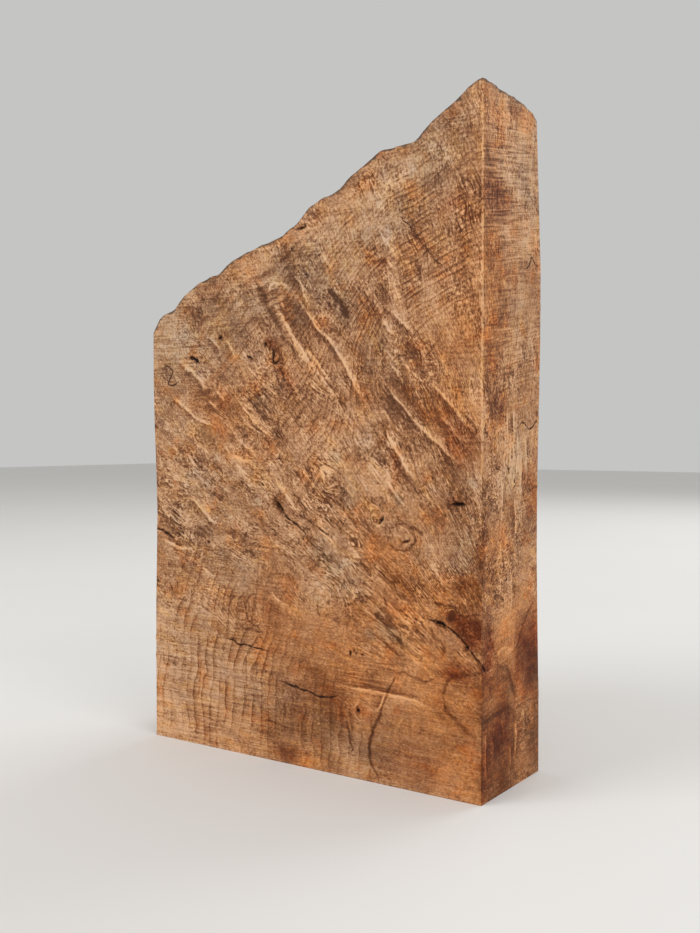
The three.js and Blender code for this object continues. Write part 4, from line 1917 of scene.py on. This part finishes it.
    def _worn(
        self,
        place: np.ndarray,
        corners: np.ndarray,
        corner_side: np.ndarray,
        sunk: dict[Side, np.ndarray],
    ) -> np.ndarray:
        """Sinks the cracks and pits, and wears the arrises.

        Args:
            place: Points in millimetres.
            corners: The point of each face corner.
            corner_side: The side of each face corner.
            sunk: How far each point is sunk into each side.

        Returns:
            The moved points.
        """
        inward = {
            Side.FRONT: (0, 1, 0),
            Side.BACK: (0, -1, 0),
            Side.LEFT: (1, 0, 0),
            Side.RIGHT: (-1, 0, 0),
        }
        moved = place.copy()
        on_side = {}
        for side in Side:
            on_side[side] = np.zeros(len(place), dtype=bool)
            on_side[side][corners[corner_side == side.value]] = True
        for side, way in inward.items():
            arris = sum(on_side[other] for other in inward if other is not side) > 0
            depth = np.where(on_side[side], sunk[side] + self.arris_wear * arris, 0)
            moved += depth[:, None] * np.array(way)
        return moved


@dataclass
class Studio:
    """Pale floor, soft light and a camera where the block was seen from."""

    azimuth: float = 34.5
    elevation: float = 1.5
    eye_height: float = 0.155
    arris_right: float = 0.05538
    arris_ahead: float = 0.44017
    focal_px: float = 1052.0
    frame_height_px: float = 933.0
    floor_size: float = 9.0
    aim_height: float = 0.15

    def build(self) -> None:
        """Makes the camera, the lights and the floor."""
        self._camera()
        self._lights()
        self._floor()
        bpy.context.scene.view_settings.view_transform = "Standard"

    def _camera(self) -> None:
        """Sets the camera by where it sees the block's nearest bottom corner."""
        turn = math.radians(self.azimuth)
        low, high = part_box(NODE)
        right = Vector((math.cos(turn), math.sin(turn), 0))
        ahead = Vector((-math.sin(turn), math.cos(turn), 0))
        corner = Vector((high[0], low[1], 0))
        data = bpy.data.cameras.new("camera")
        data.lens = data.sensor_width * self.focal_px / self.frame_height_px
        data.clip_start = 0.01
        camera = bpy.data.objects.new("camera", data)
        camera.location = corner - right * self.arris_right - ahead * self.arris_ahead
        camera.location.z = self.eye_height
        camera.rotation_euler = (math.radians(90 - self.elevation), 0, turn)
        bpy.context.scene.collection.objects.link(camera)
        bpy.context.scene.camera = camera

    def _lights(self) -> None:
        """Soft boxes round the block and a pale surround."""
        for name, place, size, power in (
            ("key", (-0.9, -1.5, 1.3), 1.2, 18.0),
            ("fill", (1.6, -0.7, 1.0), 1.2, 12.0),
            ("back", (0.3, 1.6, 1.4), 1.4, 14.0),
        ):
            data = bpy.data.lights.new(name, "AREA")
            data.size = size
            data.energy = power
            light = bpy.data.objects.new(name, data)
            light.location = place
            aim = Vector((0, 0, self.aim_height)) - light.location
            light.rotation_euler = aim.to_track_quat("-Z", "Y").to_euler()
            bpy.context.scene.collection.objects.link(light)
        world = bpy.data.worlds.new("surround")
        world.use_nodes = True
        background = world.node_tree.nodes["Background"]
        background.inputs["Color"].default_value = (0.93, 0.93, 0.92, 1)
        background.inputs["Strength"].default_value = 0.6
        bpy.context.scene.world = world

    def _floor(self) -> None:
        """A flat floor under the base."""
        half = self.floor_size / 2
        mesh = bpy.data.meshes.new("floor")
        corners = [(-half, -half, 0), (half, -half, 0), (half, half, 0), (-half, half, 0)]
        mesh.from_pydata(corners, [], [(0, 1, 2, 3)])
        mesh.materials.append(FloorFinish().make())
        floor = bpy.data.objects.new("floor", mesh)
        bpy.context.scene.collection.objects.link(floor)


def main() -> None:
    """Builds the block and the studio, and ties the block to the frame."""
    logging.basicConfig(level=logging.INFO, format="%(name)s: %(message)s")
    Studio().build()
    block = BurlBlock()
    piece = block.build()
    block.dress(piece)
    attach(piece, "root")
    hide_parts(NODE)
    LOG.info("%s: %d points, %d faces", piece.name, len(piece.data.vertices), len(piece.data.polygons))


if __name__ == "__main__":
    main()
